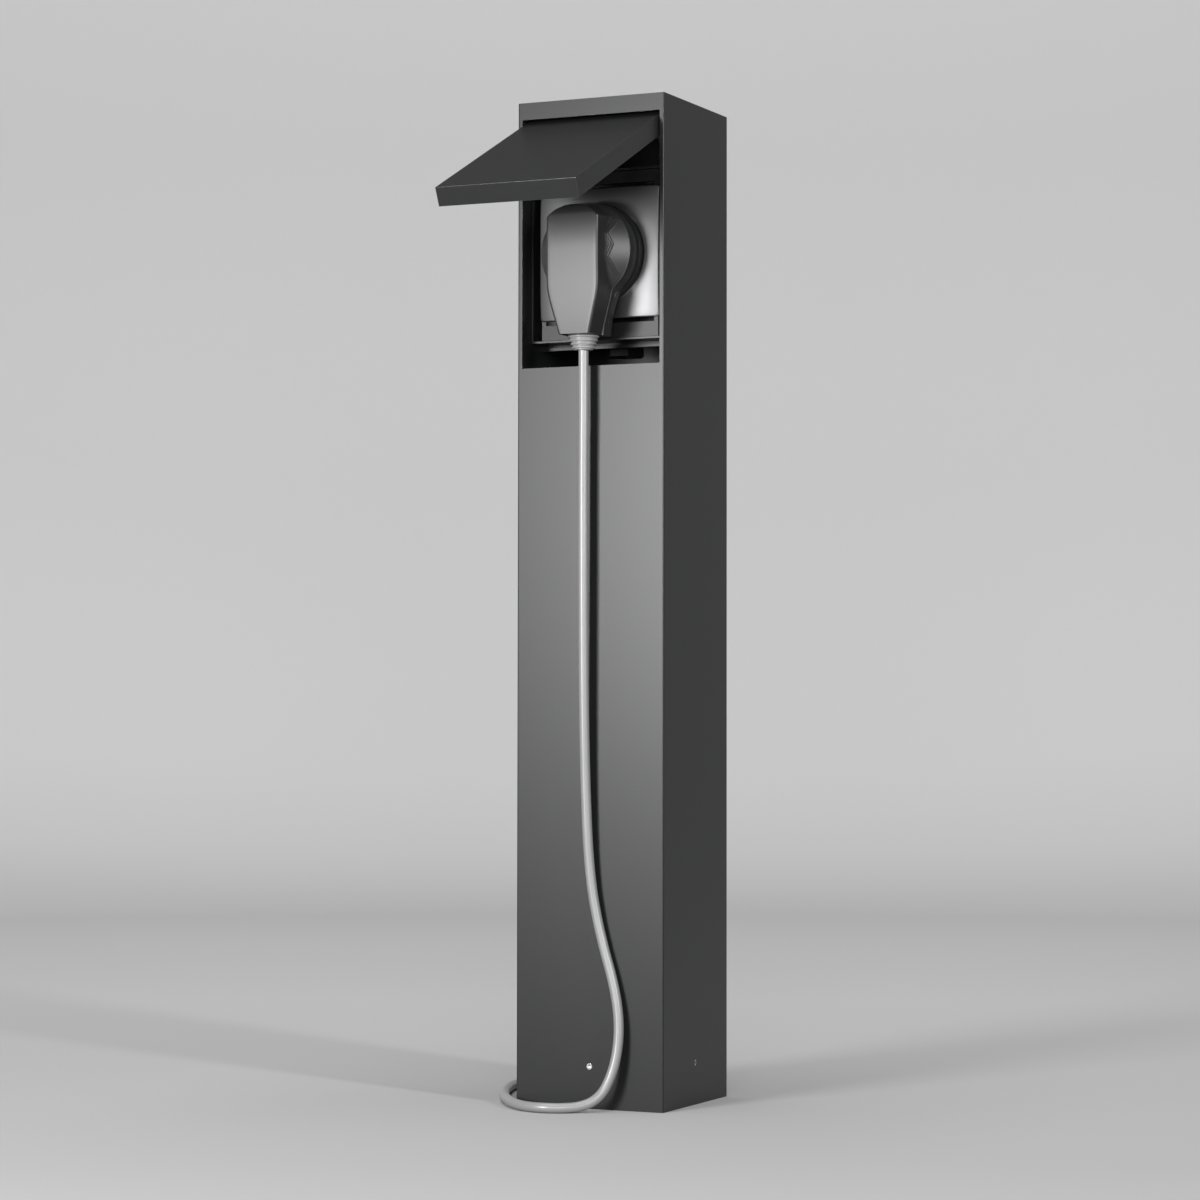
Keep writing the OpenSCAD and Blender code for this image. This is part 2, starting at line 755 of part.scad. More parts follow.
module gland_nut() color(moulded) translate([0, gland_y, gland_z - gland_hex_h - gland_nut_l]) difference() {
    hexagon(gland_nut_hex, gland_nut_l);
    translate([0, 0, gland_nut_l - gland_thread_l]) cylinder(h = gland_thread_l + cut, r = gland_r);
    translate([0, 0, -cut]) cylinder(h = gland_nut_l, d = gland_bore);
}

// A bracket at each side of the niche holds the hinge rod.
module hinge_brackets() color(zinc) both_sides() difference() {
    union() {
        along_x(bracket_x0, bracket_x1) {
            translate([hinge_y, hinge_z]) circle(hinge_boss_r);
            translate([hinge_y, hinge_z - hinge_boss_r])
                square([lip_back - hinge_y, foot_z1 - hinge_z + hinge_boss_r]);
        }
        block([bracket_x1 - foot_w, lip_back - foot_t, foot_z0], [bracket_x1, lip_back, foot_z1]);
    }
    along_x(bracket_x0 - cut, bracket_x1 + cut) translate([hinge_y, hinge_z]) circle(hinge_r);
    foot_screw_places() bar_y(0, 0, small_r + run_gap, lip_back - foot_t - cut, lip_back + cut);
}

module bracket_screws() color(bright) foot_screw_places()
    small_screw(lip_back - foot_t, foot_t + carrier_t + foot_screw_out, 1);

module hinge_rod() color(bright) along_x(-rod_end, rod_end) translate([hinge_y, hinge_z]) circle(hinge_r);

module friction_washers() color(black) both_sides() along_x(bracket_x1, rim_in)
    translate([hinge_y, hinge_z]) difference() {
        circle(washer_r);
        circle(hinge_r + run_gap);
    }

// The flap's side view, closed: a flat front with a round upper outer edge.
module flap_outline(inset, depth) {
    r = flap_top_r - inset;
    y0 = front_y + inset;
    z0 = flap_z0 + inset;
    z1 = flap_z1 - inset;
    translate([y0, z0]) square([depth, z1 - z0 - r]);
    translate([y0 + r, z0]) square([depth - r, z1 - z0]);
    translate([y0 + r, z1 - r]) circle(r);
}

// The folded flap, opened about the hinge axis.
module flap() color(graphite) translate([0, hinge_y, hinge_z]) rotate([-flap_open, 0, 0])
    translate([0, -hinge_y, -hinge_z]) difference() {
        union() {
            difference() {
                along_x(-flap_half, flap_half) flap_outline(0, flap_t);
                along_x(-rim_in, rim_in) flap_outline(flap_sheet, flap_t);
            }
            both_sides() along_x(rim_in, flap_half) {
                translate([hinge_y, hinge_z]) circle(hinge_boss_r);
                translate([front_y + flap_t - ear_lap, hinge_z - hinge_boss_r])
                    square([hinge_inset - flap_t + ear_lap, 2 * hinge_boss_r]);
            }
        }
        along_x(-flap_half - cut, flap_half + cut) translate([hinge_y, hinge_z]) circle(hinge_r + run_gap);
    }

// The plug's outline from the front: a round head with a neck that narrows to the lead.
module head_outline() translate([0, socket_z]) {
    circle(head_r);
    polygon(concat(
        [[-head_r * 0.8, -head_r * 0.6]],
        [for (p = neck) [-p[0], p[1]]],
        [for (i = [len(neck) - 1:-1:0]) neck[i]],
        [[head_r * 0.8, -head_r * 0.6]]
    ));
}

// The hole for the strain relief's stem, in both shells.
module stem_hole() translate([0, lead_y, tail_z - cut]) cylinder(h = stem_l + cut, r = stem_r);

module plug_rear_shell() color(moulded) difference() {
    along_y(joint_y, plug_y) head_outline();
    bar_y(0, socket_z, insert_boss_r, insert_boss_y, plug_y + cut);
    stem_hole();
    at_latches() cylinder(h = latch_hole, r = latch_r);
}

// The domed front with its grip, whose face slopes back at the lower end.
module plug_front_shell() color(moulded) difference() {
    union() {
        bar_y(0, socket_z, grip_w / 2 + dome_edge, dome_y, joint_y, head_r);
        along_y(joint_y - neck_lap, joint_y) intersection() {
            head_outline();
            translate([-head_r, tail_z]) square([2 * head_r, tail_drop - neck_top]);
        }
        intersection() {
            along_y(grip_y, joint_y) grip_outline();
            along_x(-head_r, head_r) polygon([
                [joint_y, tail_z], [joint_y, socket_z + head_r], [grip_y, socket_z + head_r],
                [grip_y, socket_z - grip_shoulder], [grip_y + grip_slope, tail_z]
            ]);
        }
    }
    stem_hole();
}

// The grip from the front: an arched top, straight sides, and a taper to the lead.
module grip_outline() translate([0, socket_z]) {
    intersection() {
        translate([0, grip_arc_z]) circle(grip_arc_r);
        translate([-grip_w / 2, 0]) square([grip_w, head_r]);
    }
    polygon([
        [-grip_w / 2, grip_side], [-grip_w / 2, -grip_shoulder], [-grip_end_w / 2, -tail_drop],
        [grip_end_w / 2, -tail_drop], [grip_w / 2, -grip_shoulder], [grip_w / 2, grip_side]
    ]);
}

// The latches that hold the two shells together, two at each side of the neck.
module at_latches() both_sides() for (p = latch_places)
    translate([p[0] - latch_in, latch_y, socket_z + p[1]]) rotate([0, 90, 0]) children();

module plug_latches() color(bright) at_latches() cylinder(h = latch_in + latch_proud, r = latch_r);

// The round insert with its two earth slots.
module plug_insert() color(moulded) difference() {
    union() {
        bar_y(0, socket_z, insert_r, plug_y, insert_end);
        bar_y(0, socket_z, insert_boss_r, insert_boss_y, plug_y);
    }
    both_sides() bar_y(pin_x, socket_z, pin_r, pin_root, insert_end + cut);
    earth_strips(cut);
}

module earth_strips(extra) for (s = [-1, 1]) translate([0, 0, socket_z]) mirror([0, 0, s > 0 ? 0 : 1]) block(
    [-clip_w / 2, plug_y, insert_r - strip_set - strip_depth],
    [clip_w / 2, insert_end - strip_end, insert_r - strip_set + extra]
);

module plug_earth_strips() color(bright) earth_strips(0);

module plug_pins() color(bright) both_sides() {
    bar_y(pin_x, socket_z, pin_r, pin_root, pin_end - pin_tip_l);
    bar_y(pin_x, socket_z, pin_r, pin_end - pin_tip_l, pin_end, pin_r - pin_tip_in);
}

// The stepped strain relief under the plug, with its stem inside.
module strain_relief() color(rubber) translate([0, lead_y, 0]) {
    translate([0, 0, tail_z]) cylinder(h = stem_l, r = stem_r);
    ring_h = relief_l / relief_rings;
    groove_h = ring_h * relief_groove_share;
    for (i = [0:relief_rings - 1]) translate([0, 0, tail_z - (i + 1) * ring_h]) {
        r = relief_r + (relief_end_r - relief_r) * i / (relief_rings - 1);
        translate([0, 0, groove_h]) cylinder(h = ring_h - groove_h, r = r);
        cylinder(h = groove_h, r = r - relief_groove);
    }
}

function unit(v) = v / norm(v);
function heading(p, i) =
    i == 0 ? unit(p[1] - p[0]) :
    i == len(p) - 1 ? unit(p[i] - p[i - 1]) :
    unit(unit(p[i + 1] - p[i]) + unit(p[i] - p[i - 1]));
function square_to(v, t) = unit(v - (v * t) * t);

// A closed round tube of triangles along the points, with its rings carried on without twist.
module tube(points, r, sides, first) {
    last = len(points) - 1;
    sideways = [
        for (i = 0, v = square_to(first, heading(points, 0)); i <= last;
            i = i + 1, v = square_to(v, heading(points, min(i, last)))) v
    ];
    rings = [
        for (i = [0:last]) let (t = heading(points, i), n = sideways[i], b = cross(t, n))
            for (k = [0:sides - 1]) points[i] + r * (cos(360 * k / sides) * n + sin(360 * k / sides) * b)
    ];
    skin = [
        for (i = [0:last - 1]) for (k = [0:sides - 1]) let (
            a = i * sides + k,
            b = i * sides + (k + 1) % sides
        ) each [[a, b + sides, b], [a, a + sides, b + sides]]
    ];
    ends = [for (k = [1:sides - 2]) each [
        [0, k, k + 1],
        [last * sides, last * sides + k + 1, last * sides + k]
    ]];
    polyhedron(points = rings, faces = concat(skin, ends), convexity = 10);
}

// A smooth curve through the points, with a number of steps between each two.
function curve(p, steps) = concat([
    for (i = [0:len(p) - 2]) let (
        a = p[max(i - 1, 0)],
        b = p[i],
        c = p[i + 1],
        d = p[min(i + 2, len(p) - 1)]
    ) for (s = [0:steps - 1]) let (t = s / steps)
        0.5 * (2 * b + (c - a) * t + (2 * a - 5 * b + 4 * c - d) * t * t + (3 * b - a - 3 * c + d) * t * t * t)
], [p[len(p) - 1]]);

module lead() color(rubber) tube(curve(lead_route, 2), lead_r, 10, [1, 0, 0]);

// The coil: a spiral in, a climb where it reverses, and a spiral out on top.
function rise(t) = t <= 0 ? 0 : t >= 1 ? 1 : t * t * (3 - 2 * t);
function coil_point(turn) = let (
    middle = coil_turns / 2,
    angle = 180 - 360 * turn,
    r = coil_out - turn_step * (middle - abs(turn - middle)),
    z = coil_z0 + turn_step * rise((turn - middle + 0.25) / 0.5)
) [coil_centre[0] + r * cos(angle), coil_centre[1] + r * sin(angle), z];
coil_line = concat(
    [[tail_x, coil_centre[1] - lead_d, coil_z0]],
    [for (i = [0:coil_turns * coil_rings]) coil_point(i / coil_rings)],
    [[tail_x, tail_y - lead_d, coil_z1], [tail_x, tail_y, coil_z1]]
);
coil_gap = min([
    for (i = [0:len(coil_line) - 13]) for (j = [i + 12:len(coil_line) - 1])
        norm(coil_line[i] - coil_line[j])
]) - lead_d;
echo(coil_gap = coil_gap);

module lead_coil() color(rubber) tube(coil_line, lead_r, 6, [0, 0, 1]);

// The band round the bundle of turns.
module coil_tie() color(black) translate([coil_centre[0], coil_centre[1], 0]) rotate([0, 0, tie_angle])
    difference() {
        x0 = coil_out - coil_turns / 2 * turn_step - lead_r - tie_gap_in;
        x1 = coil_out + lead_r + tie_gap_out;
        z0 = coil_lift - tie_gap_under;
        z1 = coil_z1 + lead_r + tie_gap_top;
        block([x0 - tie_t, -tie_w / 2, z0 - tie_t], [x1 + tie_t, tie_w / 2, z1 + tie_t]);
        block([x0, -tie_w / 2 - cut, z0], [x1, tie_w / 2 + cut, z1]);
    }

// The lead's far end: a tapered strain relief and a connector with three contacts.
module connector_relief() color(rubber)
    bar_y(tail_x, coil_z1, lead_r + boot_wall, tail_y, boot_y, lead_r + boot_end_wall);

module connector_body() color(rubber) difference() {
    w = connector_w / 2;
    h = connector_h / 2;
    along_y(boot_y, boot_y + connector_l) translate([tail_x, coil_z1]) polygon([
        [-w, -h], [w, -h], [w, h - connector_cut], [w - connector_cut, h],
        [-w + connector_cut, h], [-w, h - connector_cut]
    ]);
    at_contacts() block(
        [-contact_half_w, boot_y + contact_root, -contact_half_h],
        [contact_half_w, boot_y + connector_l + cut, contact_half_h]
    );
}

module at_contacts() translate([tail_x, 0, coil_z1]) {
    for (side = [-1, 1]) translate([contact_x * side, 0, -contact_z]) children();
    translate([0, 0, contact_z]) children();
}

module connector_contacts() color(brass) at_contacts() difference() {
    block(
        [-contact_half_w, boot_y + contact_root, -contact_half_h],
        [contact_half_w, boot_y + connector_l - contact_set, contact_half_h]
    );
    block(
        [-contact_slot, boot_y + contact_root + contact_web, -contact_half_h - cut],
        [contact_slot, boot_y + connector_l, contact_half_h + cut]
    );
}

column_tube();
top_plate();
ground_base();
set_screws();
earth_stud();
earth_nuts();
lip_frame();
carrier();
support_frame();
support_posts();
post_screws();
cover_plate();
socket_cup();
socket_nut();
base_block();
contact_sleeves();
terminal_screws();
earth_clip();
centre_screw();
wiring_box();
box_gasket();
box_screws();
gland_body();
gland_locknut();
gland_seal();
gland_nut();
hinge_brackets();
bracket_screws();
hinge_rod();
friction_washers();
flap();
plug_rear_shell();
plug_front_shell();
plug_insert();
plug_pins();
plug_earth_strips();
plug_latches();
strain_relief();
lead();
lead_coil();
coil_tie();
connector_relief();
connector_body();
connector_contacts();
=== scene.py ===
"""The looks of the outdoor socket: a camera at the photograph's angle, a plain studio, the lead, and a
detailed visual piece or a procedural material for every CAD node. Metres; the millimetres of the
source are turned into metres by mm()."""

import json
import math

import bmesh
import bpy
from mathutils import Matrix, Vector

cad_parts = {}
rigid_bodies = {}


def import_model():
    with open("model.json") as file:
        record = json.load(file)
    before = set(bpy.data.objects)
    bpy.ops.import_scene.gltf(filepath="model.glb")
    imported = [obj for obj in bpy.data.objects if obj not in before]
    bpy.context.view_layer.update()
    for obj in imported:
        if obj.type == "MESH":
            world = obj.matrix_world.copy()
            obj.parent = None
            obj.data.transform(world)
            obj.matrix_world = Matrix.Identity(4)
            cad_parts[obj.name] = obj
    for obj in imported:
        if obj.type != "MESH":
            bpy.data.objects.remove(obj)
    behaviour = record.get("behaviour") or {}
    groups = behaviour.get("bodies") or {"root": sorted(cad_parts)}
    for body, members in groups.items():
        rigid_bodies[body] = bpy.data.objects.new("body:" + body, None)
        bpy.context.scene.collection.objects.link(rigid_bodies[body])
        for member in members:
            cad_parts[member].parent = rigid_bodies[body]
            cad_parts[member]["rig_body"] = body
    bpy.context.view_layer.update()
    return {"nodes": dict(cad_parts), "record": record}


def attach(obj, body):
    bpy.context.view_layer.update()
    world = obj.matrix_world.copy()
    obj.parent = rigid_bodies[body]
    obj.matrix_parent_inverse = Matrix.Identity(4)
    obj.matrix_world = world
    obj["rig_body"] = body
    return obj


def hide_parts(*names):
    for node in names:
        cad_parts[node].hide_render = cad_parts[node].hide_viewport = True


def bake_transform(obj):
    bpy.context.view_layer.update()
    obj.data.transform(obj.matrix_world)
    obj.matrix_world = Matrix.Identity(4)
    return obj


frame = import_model()
nodes = frame["nodes"]

# Sizes of the source that the pieces below share, in millimetres
SOCKET_Z = 528.5
SUPPORT_Y = -36.0
COVER_Y = -40.0
SEAT_Y = -45.0
JOINT_Y = -56.0
HEAD_R = 30.4
GRIP_H = 21.0
GRIP_HALF = 17.6
GRIP_END_HALF = 10.6
TAIL_DROP = 52.5
LEAD_Y = -59.5
TAIL_Z = 476.0
LEAD_R = 3.1


def mm(*values):
    """A vector in metres from millimetres."""
    return Vector([v * 0.001 for v in values])


def smoothstep(a, b, x):
    """Rises softly from 0 at a to 1 at b."""
    t = min(max((x - a) / (b - a), 0), 1)
    return t * t * (3 - 2 * t)


def circle(steps):
    """The angles of a full turn in even steps."""
    return [2 * math.pi * k / steps for k in range(steps)]


def quarter(steps):
    """The angles of a quarter turn in even steps, without its start."""
    return [math.radians(90 * i / steps) for i in range(1, steps + 1)]


# Camera at the photograph's viewing angle: degrees, pixels of its 1200 px frame, and metres

CAMERA_YAW = 24.976
CAMERA_PITCH = 1.7965
CAMERA_ROLL = 0.078
CAMERA_PLACE = (0.8909, -1.9476, 0.2474)
FOCAL_PX = 3394.7
FRAME_PX = 1200
SENSOR_WIDTH = 36
CLIP_START = 0.01
CLIP_END = 50


def add_camera():
    """The camera, turned to the left by its yaw, up by its pitch, and then rolled."""
    yaw, pitch, roll = [math.radians(angle) for angle in (CAMERA_YAW, CAMERA_PITCH, CAMERA_ROLL)]
    forward = Vector((-math.sin(yaw) * math.cos(pitch), math.cos(yaw) * math.cos(pitch), math.sin(pitch)))
    level = Vector((math.cos(yaw), math.sin(yaw), 0))
    up = level.cross(forward)
    right = math.cos(roll) * level + math.sin(roll) * up
    up = right.cross(forward)
    data = bpy.data.cameras.new("camera")
    data.sensor_width = SENSOR_WIDTH
    data.lens = SENSOR_WIDTH * FOCAL_PX / FRAME_PX
    data.clip_start = CLIP_START
    data.clip_end = CLIP_END
    camera = bpy.data.objects.new("camera", data)
    bpy.context.scene.collection.objects.link(camera)
    turn = Matrix((right, up, -forward)).transposed().to_4x4()
    camera.matrix_world = Matrix.Translation(CAMERA_PLACE) @ turn
    bpy.context.scene.camera = camera


add_camera()


# Meshes; the lengths below which points count as one are in metres

SAME_POINT = 1e-7
NO_LENGTH = 1e-8
SAME_CAD_POINT = 2e-6
FLAT_DEG = 0.6
SHARP_DEG = 28
BEVEL_SMOOTH_DEG = 50


def write_back(bm, mesh, smooth_deg):
    """Puts the edited faces back into the mesh, smooth but for the edges sharper than smooth_deg."""
    bmesh.ops.recalc_face_normals(bm, faces=bm.faces)
    for face in bm.faces:
        face.smooth = True
    bm.to_mesh(mesh)
    bm.free()
    mesh.set_sharp_from_angle(angle=math.radians(smooth_deg))


def add_mesh(name, points, faces, smooth_deg):
    """A mesh object from points in millimetres, with edges sharper than smooth_deg kept sharp."""
    mesh = bpy.data.meshes.new(name)
    mesh.from_pydata([mm(*p) for p in points], [], faces)
    mesh.validate()
    bm = bmesh.new()
    bm.from_mesh(mesh)
    bmesh.ops.remove_doubles(bm, verts=bm.verts, dist=SAME_POINT)
    bmesh.ops.dissolve_degenerate(bm, dist=NO_LENGTH, edges=bm.edges)
    write_back(bm, mesh, smooth_deg)
    obj = bpy.data.objects.new(name, mesh)
    bpy.context.scene.collection.objects.link(obj)
    return obj


def bevelled_copy(node, width, segments):
    """A CAD node's own shape as a new piece, with its sharp edges rounded by width millimetres."""
    name = node + "_shown"
    mesh = nodes[node].data.copy()
    mesh.name = name
    mesh.materials.clear()
    bm = bmesh.new()
    bm.from_mesh(mesh)
    bmesh.ops.remove_doubles(bm, verts=bm.verts, dist=SAME_CAD_POINT)
    bmesh.ops.dissolve_limit(
        bm, angle_limit=math.radians(FLAT_DEG), use_dissolve_boundaries=False,
        verts=bm.verts, edges=bm.edges, delimit={"NORMAL"},
    )
    least = math.radians(SHARP_DEG)
    sharp = [e for e in bm.edges if len(e.link_faces) == 2 and e.calc_face_angle(0) > least]
    # Slot 1 holds the lighter, glossier copy of the coat that powder-coated copies get when they are dressed,
    # a painted highlight line along their bevels; -1 keeps a face's own slot
    edge_slot = 1 if SLOTS[node] == "powder_coat" else -1
    bmesh.ops.bevel(
        bm, geom=sharp, offset=width * 0.001, offset_type="OFFSET", segments=segments,
        profile=0.5, affect="EDGES", clamp_overlap=True, material=edge_slot,
    )
    write_back(bm, mesh, BEVEL_SMOOTH_DEG)
    obj = bpy.data.objects.new(name, mesh)
    bpy.context.scene.collection.objects.link(obj)
    weighted = obj.modifiers.new("weighted_normals", "WEIGHTED_NORMAL")
    weighted.keep_sharp = True
    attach(obj, nodes[node]["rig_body"])
    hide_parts(node)
    return obj


def catmull_rom(points, steps):
    """A smooth curve through the points, as in the source."""
    out = []
    for i in range(len(points) - 1):
        a, b = points[max(i - 1, 0)], points[i]
        c, d = points[i + 1], points[min(i + 2, len(points) - 1)]
        for s in range(steps):
            t = s / steps
            out.append([
                0.5 * (2 * q + (r - p) * t + (2 * p - 5 * q + 4 * r - w) * t * t
                       + (3 * q - p - 3 * r + w) * t ** 3)
                for p, q, r, w in zip(a, b, c, d)
            ])
    return out + [list(points[-1])]


def bands(start, rows, count, joined=False):
    """Faces between rows of count points, each row a closed loop; joined also links the last to the first."""
    faces = []
    for row in range(rows if joined else rows - 1):
        near = start + row * count
        far = start + (row + 1) % rows * count
        for k in range(count):
            n = (k + 1) % count
            faces.append((near + k, near + n, far + n, far + k))
    return faces


def tube(name, path, radius, sides, first):
    """A closed round tube along the path, with rings carried on without twist and flat ends."""
    line = [Vector(p) for p in path]
    side = Vector(first)
    last = len(line) - 1
    points = []
    for i, centre in enumerate(line):
        ahead = line[min(i + 1, last)] - line[max(i - 1, 0)]
        ahead.normalize()
        side = (side - ahead * side.dot(ahead)).normalized()
        other = ahead.cross(side)
        points += [centre + radius * (math.cos(a) * side + math.sin(a) * other) for a in circle(sides)]
    faces = bands(0, len(line), sides)
    faces.append(tuple(range(sides - 1, -1, -1)))
    faces.append(tuple(last * sides + k for k in range(sides)))
    return add_mesh(name, points, faces, smooth_deg=60)


def lathe(name, profile, centre, sides, smooth_deg):
    """A closed solid turned from a closed profile of (height, radius) about an upright axis."""
    points = []
    for a in circle(sides):
        for height, radius in profile:
            points.append((centre[0] + radius * math.cos(a), centre[1] + radius * math.sin(a),
                           centre[2] + height))
    return add_mesh(name, points, bands(0, sides, len(profile), joined=True), smooth_deg)


# Materials, all procedural and in the piece's own coordinates

BROAD_DETAIL = 4
FINE_DETAIL = 3
LEAST_ROUGH = 0.02
STUDIO_ROUGH = 0.95


def add_node(tree, kind, inputs, **settings):
    """A shader node with its settings; each input gets a value or a link from another node's output."""
    added = tree.nodes.new(kind)
    for setting, value in settings.items():
        setattr(added, setting, value)
    for key, value in inputs.items():
        if isinstance(value, bpy.types.NodeSocket):
            tree.links.new(value, added.inputs[key])
        else:
            added.inputs[key].default_value = value
    return added


def material(name, colour, rough, metallic=0.0, specular=0.5, vary=0.06, vary_scale=40.0, rough_vary=0.05,
             grain_scale=900.0, grain=0.15, grain_depth=0.00003, stretch=(1, 1, 1)):
    """A surface whose colour varies broadly by vary, with a fine grain in its roughness and relief."""
    made = bpy.data.materials.new(name)
    made.use_nodes = True
    tree = made.node_tree
    shader = tree.nodes["Principled BSDF"]
    shader.inputs["Metallic"].default_value = metallic
    shader.inputs["Specular IOR Level"].default_value = specular
    place = add_node(tree, "ShaderNodeTexCoord", {})
    scaled = add_node(tree, "ShaderNodeMapping", {"Vector": place.outputs["Object"], "Scale": stretch})

    broad = add_node(tree, "ShaderNodeTexNoise", {
        "Vector": scaled.outputs["Vector"], "Scale": vary_scale, "Detail": BROAD_DETAIL,
    })
    tint = add_node(tree, "ShaderNodeMix", {
        "Factor": broad.outputs["Fac"],
        "A": (*[c * (1 - vary) for c in colour], 1),
        "B": (*[min(c * (1 + vary), 1) for c in colour], 1),
    }, data_type="RGBA")
    tree.links.new(tint.outputs["Result"], shader.inputs["Base Color"])

    fine = add_node(tree, "ShaderNodeTexNoise", {
        "Vector": scaled.outputs["Vector"], "Scale": grain_scale, "Detail": FINE_DETAIL,
    })
    ranged = add_node(tree, "ShaderNodeMapRange", {
        "Value": fine.outputs["Fac"],
        "To Min": max(rough - rough_vary, LEAST_ROUGH),
        "To Max": min(rough + rough_vary, 1),
    })
    tree.links.new(ranged.outputs["Result"], shader.inputs["Roughness"])
    bump = add_node(tree, "ShaderNodeBump", {
        "Height": fine.outputs["Fac"], "Strength": grain, "Distance": grain_depth,
    })
    tree.links.new(bump.outputs["Normal"], shader.inputs["Normal"])
    return made


MATERIALS = {
    "powder_coat": material("powder_coat", (0.0115, 0.0118, 0.0124), 0.34, vary=0.05, vary_scale=14,
                            grain_scale=1500, grain=0.22, grain_depth=0.00004, specular=0.35),
    # A lighter, glossier copy of the coat for the bevel faces: a painted highlight along the edges
    "coat_edge_highlight": material("coat_edge_highlight", (0.02, 0.0203, 0.021), 0.24, vary=0.05, vary_scale=60,
                          grain_scale=1500, grain=0.05, specular=1.0),
    "black_coat": material("black_coat", (0.010, 0.010, 0.0105), 0.34, vary=0.08, vary_scale=30,
                           grain_scale=1300, grain=0.15, specular=0.25),
    "zinc_steel": material("zinc_steel", (0.42, 0.43, 0.44), 0.34, metallic=1.0, vary=0.12, vary_scale=90,
                           grain_scale=500, grain=0.1),
    "screw_steel": material("screw_steel", (0.6, 0.6, 0.61), 0.24, metallic=1.0, vary=0.05, vary_scale=200,
                            grain_scale=2500, grain=0.15),
    "satin_cover": material("satin_cover", (0.12, 0.12, 0.122), 0.4, metallic=1.0, vary=0.04, vary_scale=120,
                            grain_scale=900, grain=0.04, stretch=(0.06, 1, 1.6), rough_vary=0.02),
    "socket_black": material("socket_black", (0.010, 0.010, 0.0105), 0.42, grain_scale=1800, grain=0.12,
                             specular=0.3),
    "gland_black": material("gland_black", (0.006, 0.006, 0.0062), 0.7, grain_scale=1500, grain=0.2,
                            specular=0.1),
    "grey_insulator": material("grey_insulator", (0.3, 0.3, 0.31), 0.5, grain_scale=1500, grain=0.2),
    "brass": material("brass", (0.7, 0.52, 0.25), 0.3, metallic=1.0, grain_scale=900, grain=0.1),
    "seal_rubber": material("seal_rubber", (0.035, 0.035, 0.037), 0.75, grain_scale=1200, grain=0.3),
    "washer_polymer": material("washer_polymer", (0.02, 0.02, 0.021), 0.5, grain_scale=1500, grain=0.1),
    "plug_grey": material("plug_grey", (0.018, 0.018, 0.0185), 0.38, vary=0.04, vary_scale=60,
                          grain_scale=3000, grain=0.2, grain_depth=0.00002, specular=0.55),
    "plug_dark": material("plug_dark", (0.03, 0.03, 0.031), 0.45, grain_scale=2500, grain=0.2),
    "nickel": material("nickel", (0.62, 0.62, 0.6), 0.2, metallic=1.0, vary=0.03, grain_scale=2000,
                       grain=0.05),
    "lead_rubber": material("lead_rubber", (0.23, 0.23, 0.234), 0.34, vary=0.06, vary_scale=50,
                            grain_scale=1600, grain=0.15, grain_depth=0.00002, specular=0.8),
    "tie_fabric": material("tie_fabric", (0.03, 0.03, 0.032), 0.9, vary=0.3, vary_scale=900,
                           grain_scale=1500, grain=0.8, grain_depth=0.0002),
}
SLOTS = {p["node"]: p["material_slot"] for p in frame["record"]["subparts"]}


def dress(obj, slot_name):
    """Gives a visual piece the material of a slot."""
    # Clearing resets which slot each face is in, so it is left out where nothing is there to clear
    if obj.data.materials:
        obj.data.materials.clear()
    obj.data.materials.append(MATERIALS[slot_name])
    return obj


for node_name, cad in nodes.items():
    cad.data.materials.clear()
    cad.data.materials.append(MATERIALS[SLOTS[node_name]])


# The lead and its coil, one unbroken cord

LEAD_ROUTE = [
    [0, -59.5, 467], [0, -59.5, 455], [0, -59.5, 425], [-0.2, -59.4, 395], [-0.2, -59.3, 360],
    [-0.2, -59.1, 325], [-0.2, -58.7, 290], [-0.1, -58.2, 255], [0.2, -57.4, 220],
    [0.8, -56.6, 190], [2, -55.8, 160], [4.2, -55, 136], [7.8, -54.5, 116], [12.4, -54.3, 98],
    [17.2, -54.4, 82], [21, -54.9, 66], [22.7, -55.8, 51], [22.2, -57.2, 37], [20, -59.4, 24.5],
    [16, -62.8, 13.5], [10.6, -67, 7], [3.6, -72, 4], [-4.6, -77.2, 3.2], [-13.4, -80.6, 3.2],
    [-23, -80.4, 3.2], [-33, -75.8, 3.2], [-44, -66, 3.2], [-58, -47.4, 3.2], [-71.5, -23, 3.2],
    [-81, -1, 3.2], [-87.5, 20, 3.2], [-90.4, 42, 3.3], [-89.4, 64, 3.5], [-87.6, 82, 3.6],
    [-87.5, 89, 3.6], [-87.5, 95.8, 3.6],
]
ROUTE_STEPS = 6
COIL_CENTRE = (-45.0, 102.0)
COIL_TURNS = 5
COIL_STEPS = 48
TURN_STEP = 6.8
COIL_OUT = 42.5
COIL_Z0, COIL_Z1 = 3.6, 10.4
# Share of a turn in which the coil climbs from its lower layer to its upper one
COIL_CLIMB = 0.5
TAIL_X, TAIL_Y = -87.5, 120.0
LEAD_SIDES = 18


def coil_point(turn):
    """A point of the coil: it winds inwards on the ground, climbs one layer, and winds out again on top."""
    middle = COIL_TURNS / 2
    angle = math.radians(180 - 360 * turn)
    r = COIL_OUT - TURN_STEP * (middle - abs(turn - middle))
    z = COIL_Z0 + TURN_STEP * smoothstep(middle - COIL_CLIMB / 2, middle + COIL_CLIMB / 2, turn)
    return [COIL_CENTRE[0] + r * math.cos(angle), COIL_CENTRE[1] + r * math.sin(angle), z]


def lead_line():
    """The middle line of the whole cord, in millimetres."""
    line = catmull_rom(LEAD_ROUTE, ROUTE_STEPS)
    line += [coil_point(i / COIL_STEPS) for i in range(COIL_STEPS * COIL_TURNS + 1)]
    line += [[TAIL_X, TAIL_Y - 2 * LEAD_R, COIL_Z1], [TAIL_X, TAIL_Y, COIL_Z1]]
    return line


LINE = lead_line()
lead = dress(tube("lead_flex", LINE, LEAD_R, LEAD_SIDES, (1, 0, 0)), "lead_rubber")
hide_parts("lead", "lead_coil")


# The plug: outline, head with rear shell, front shell with grip and ribbed recesses

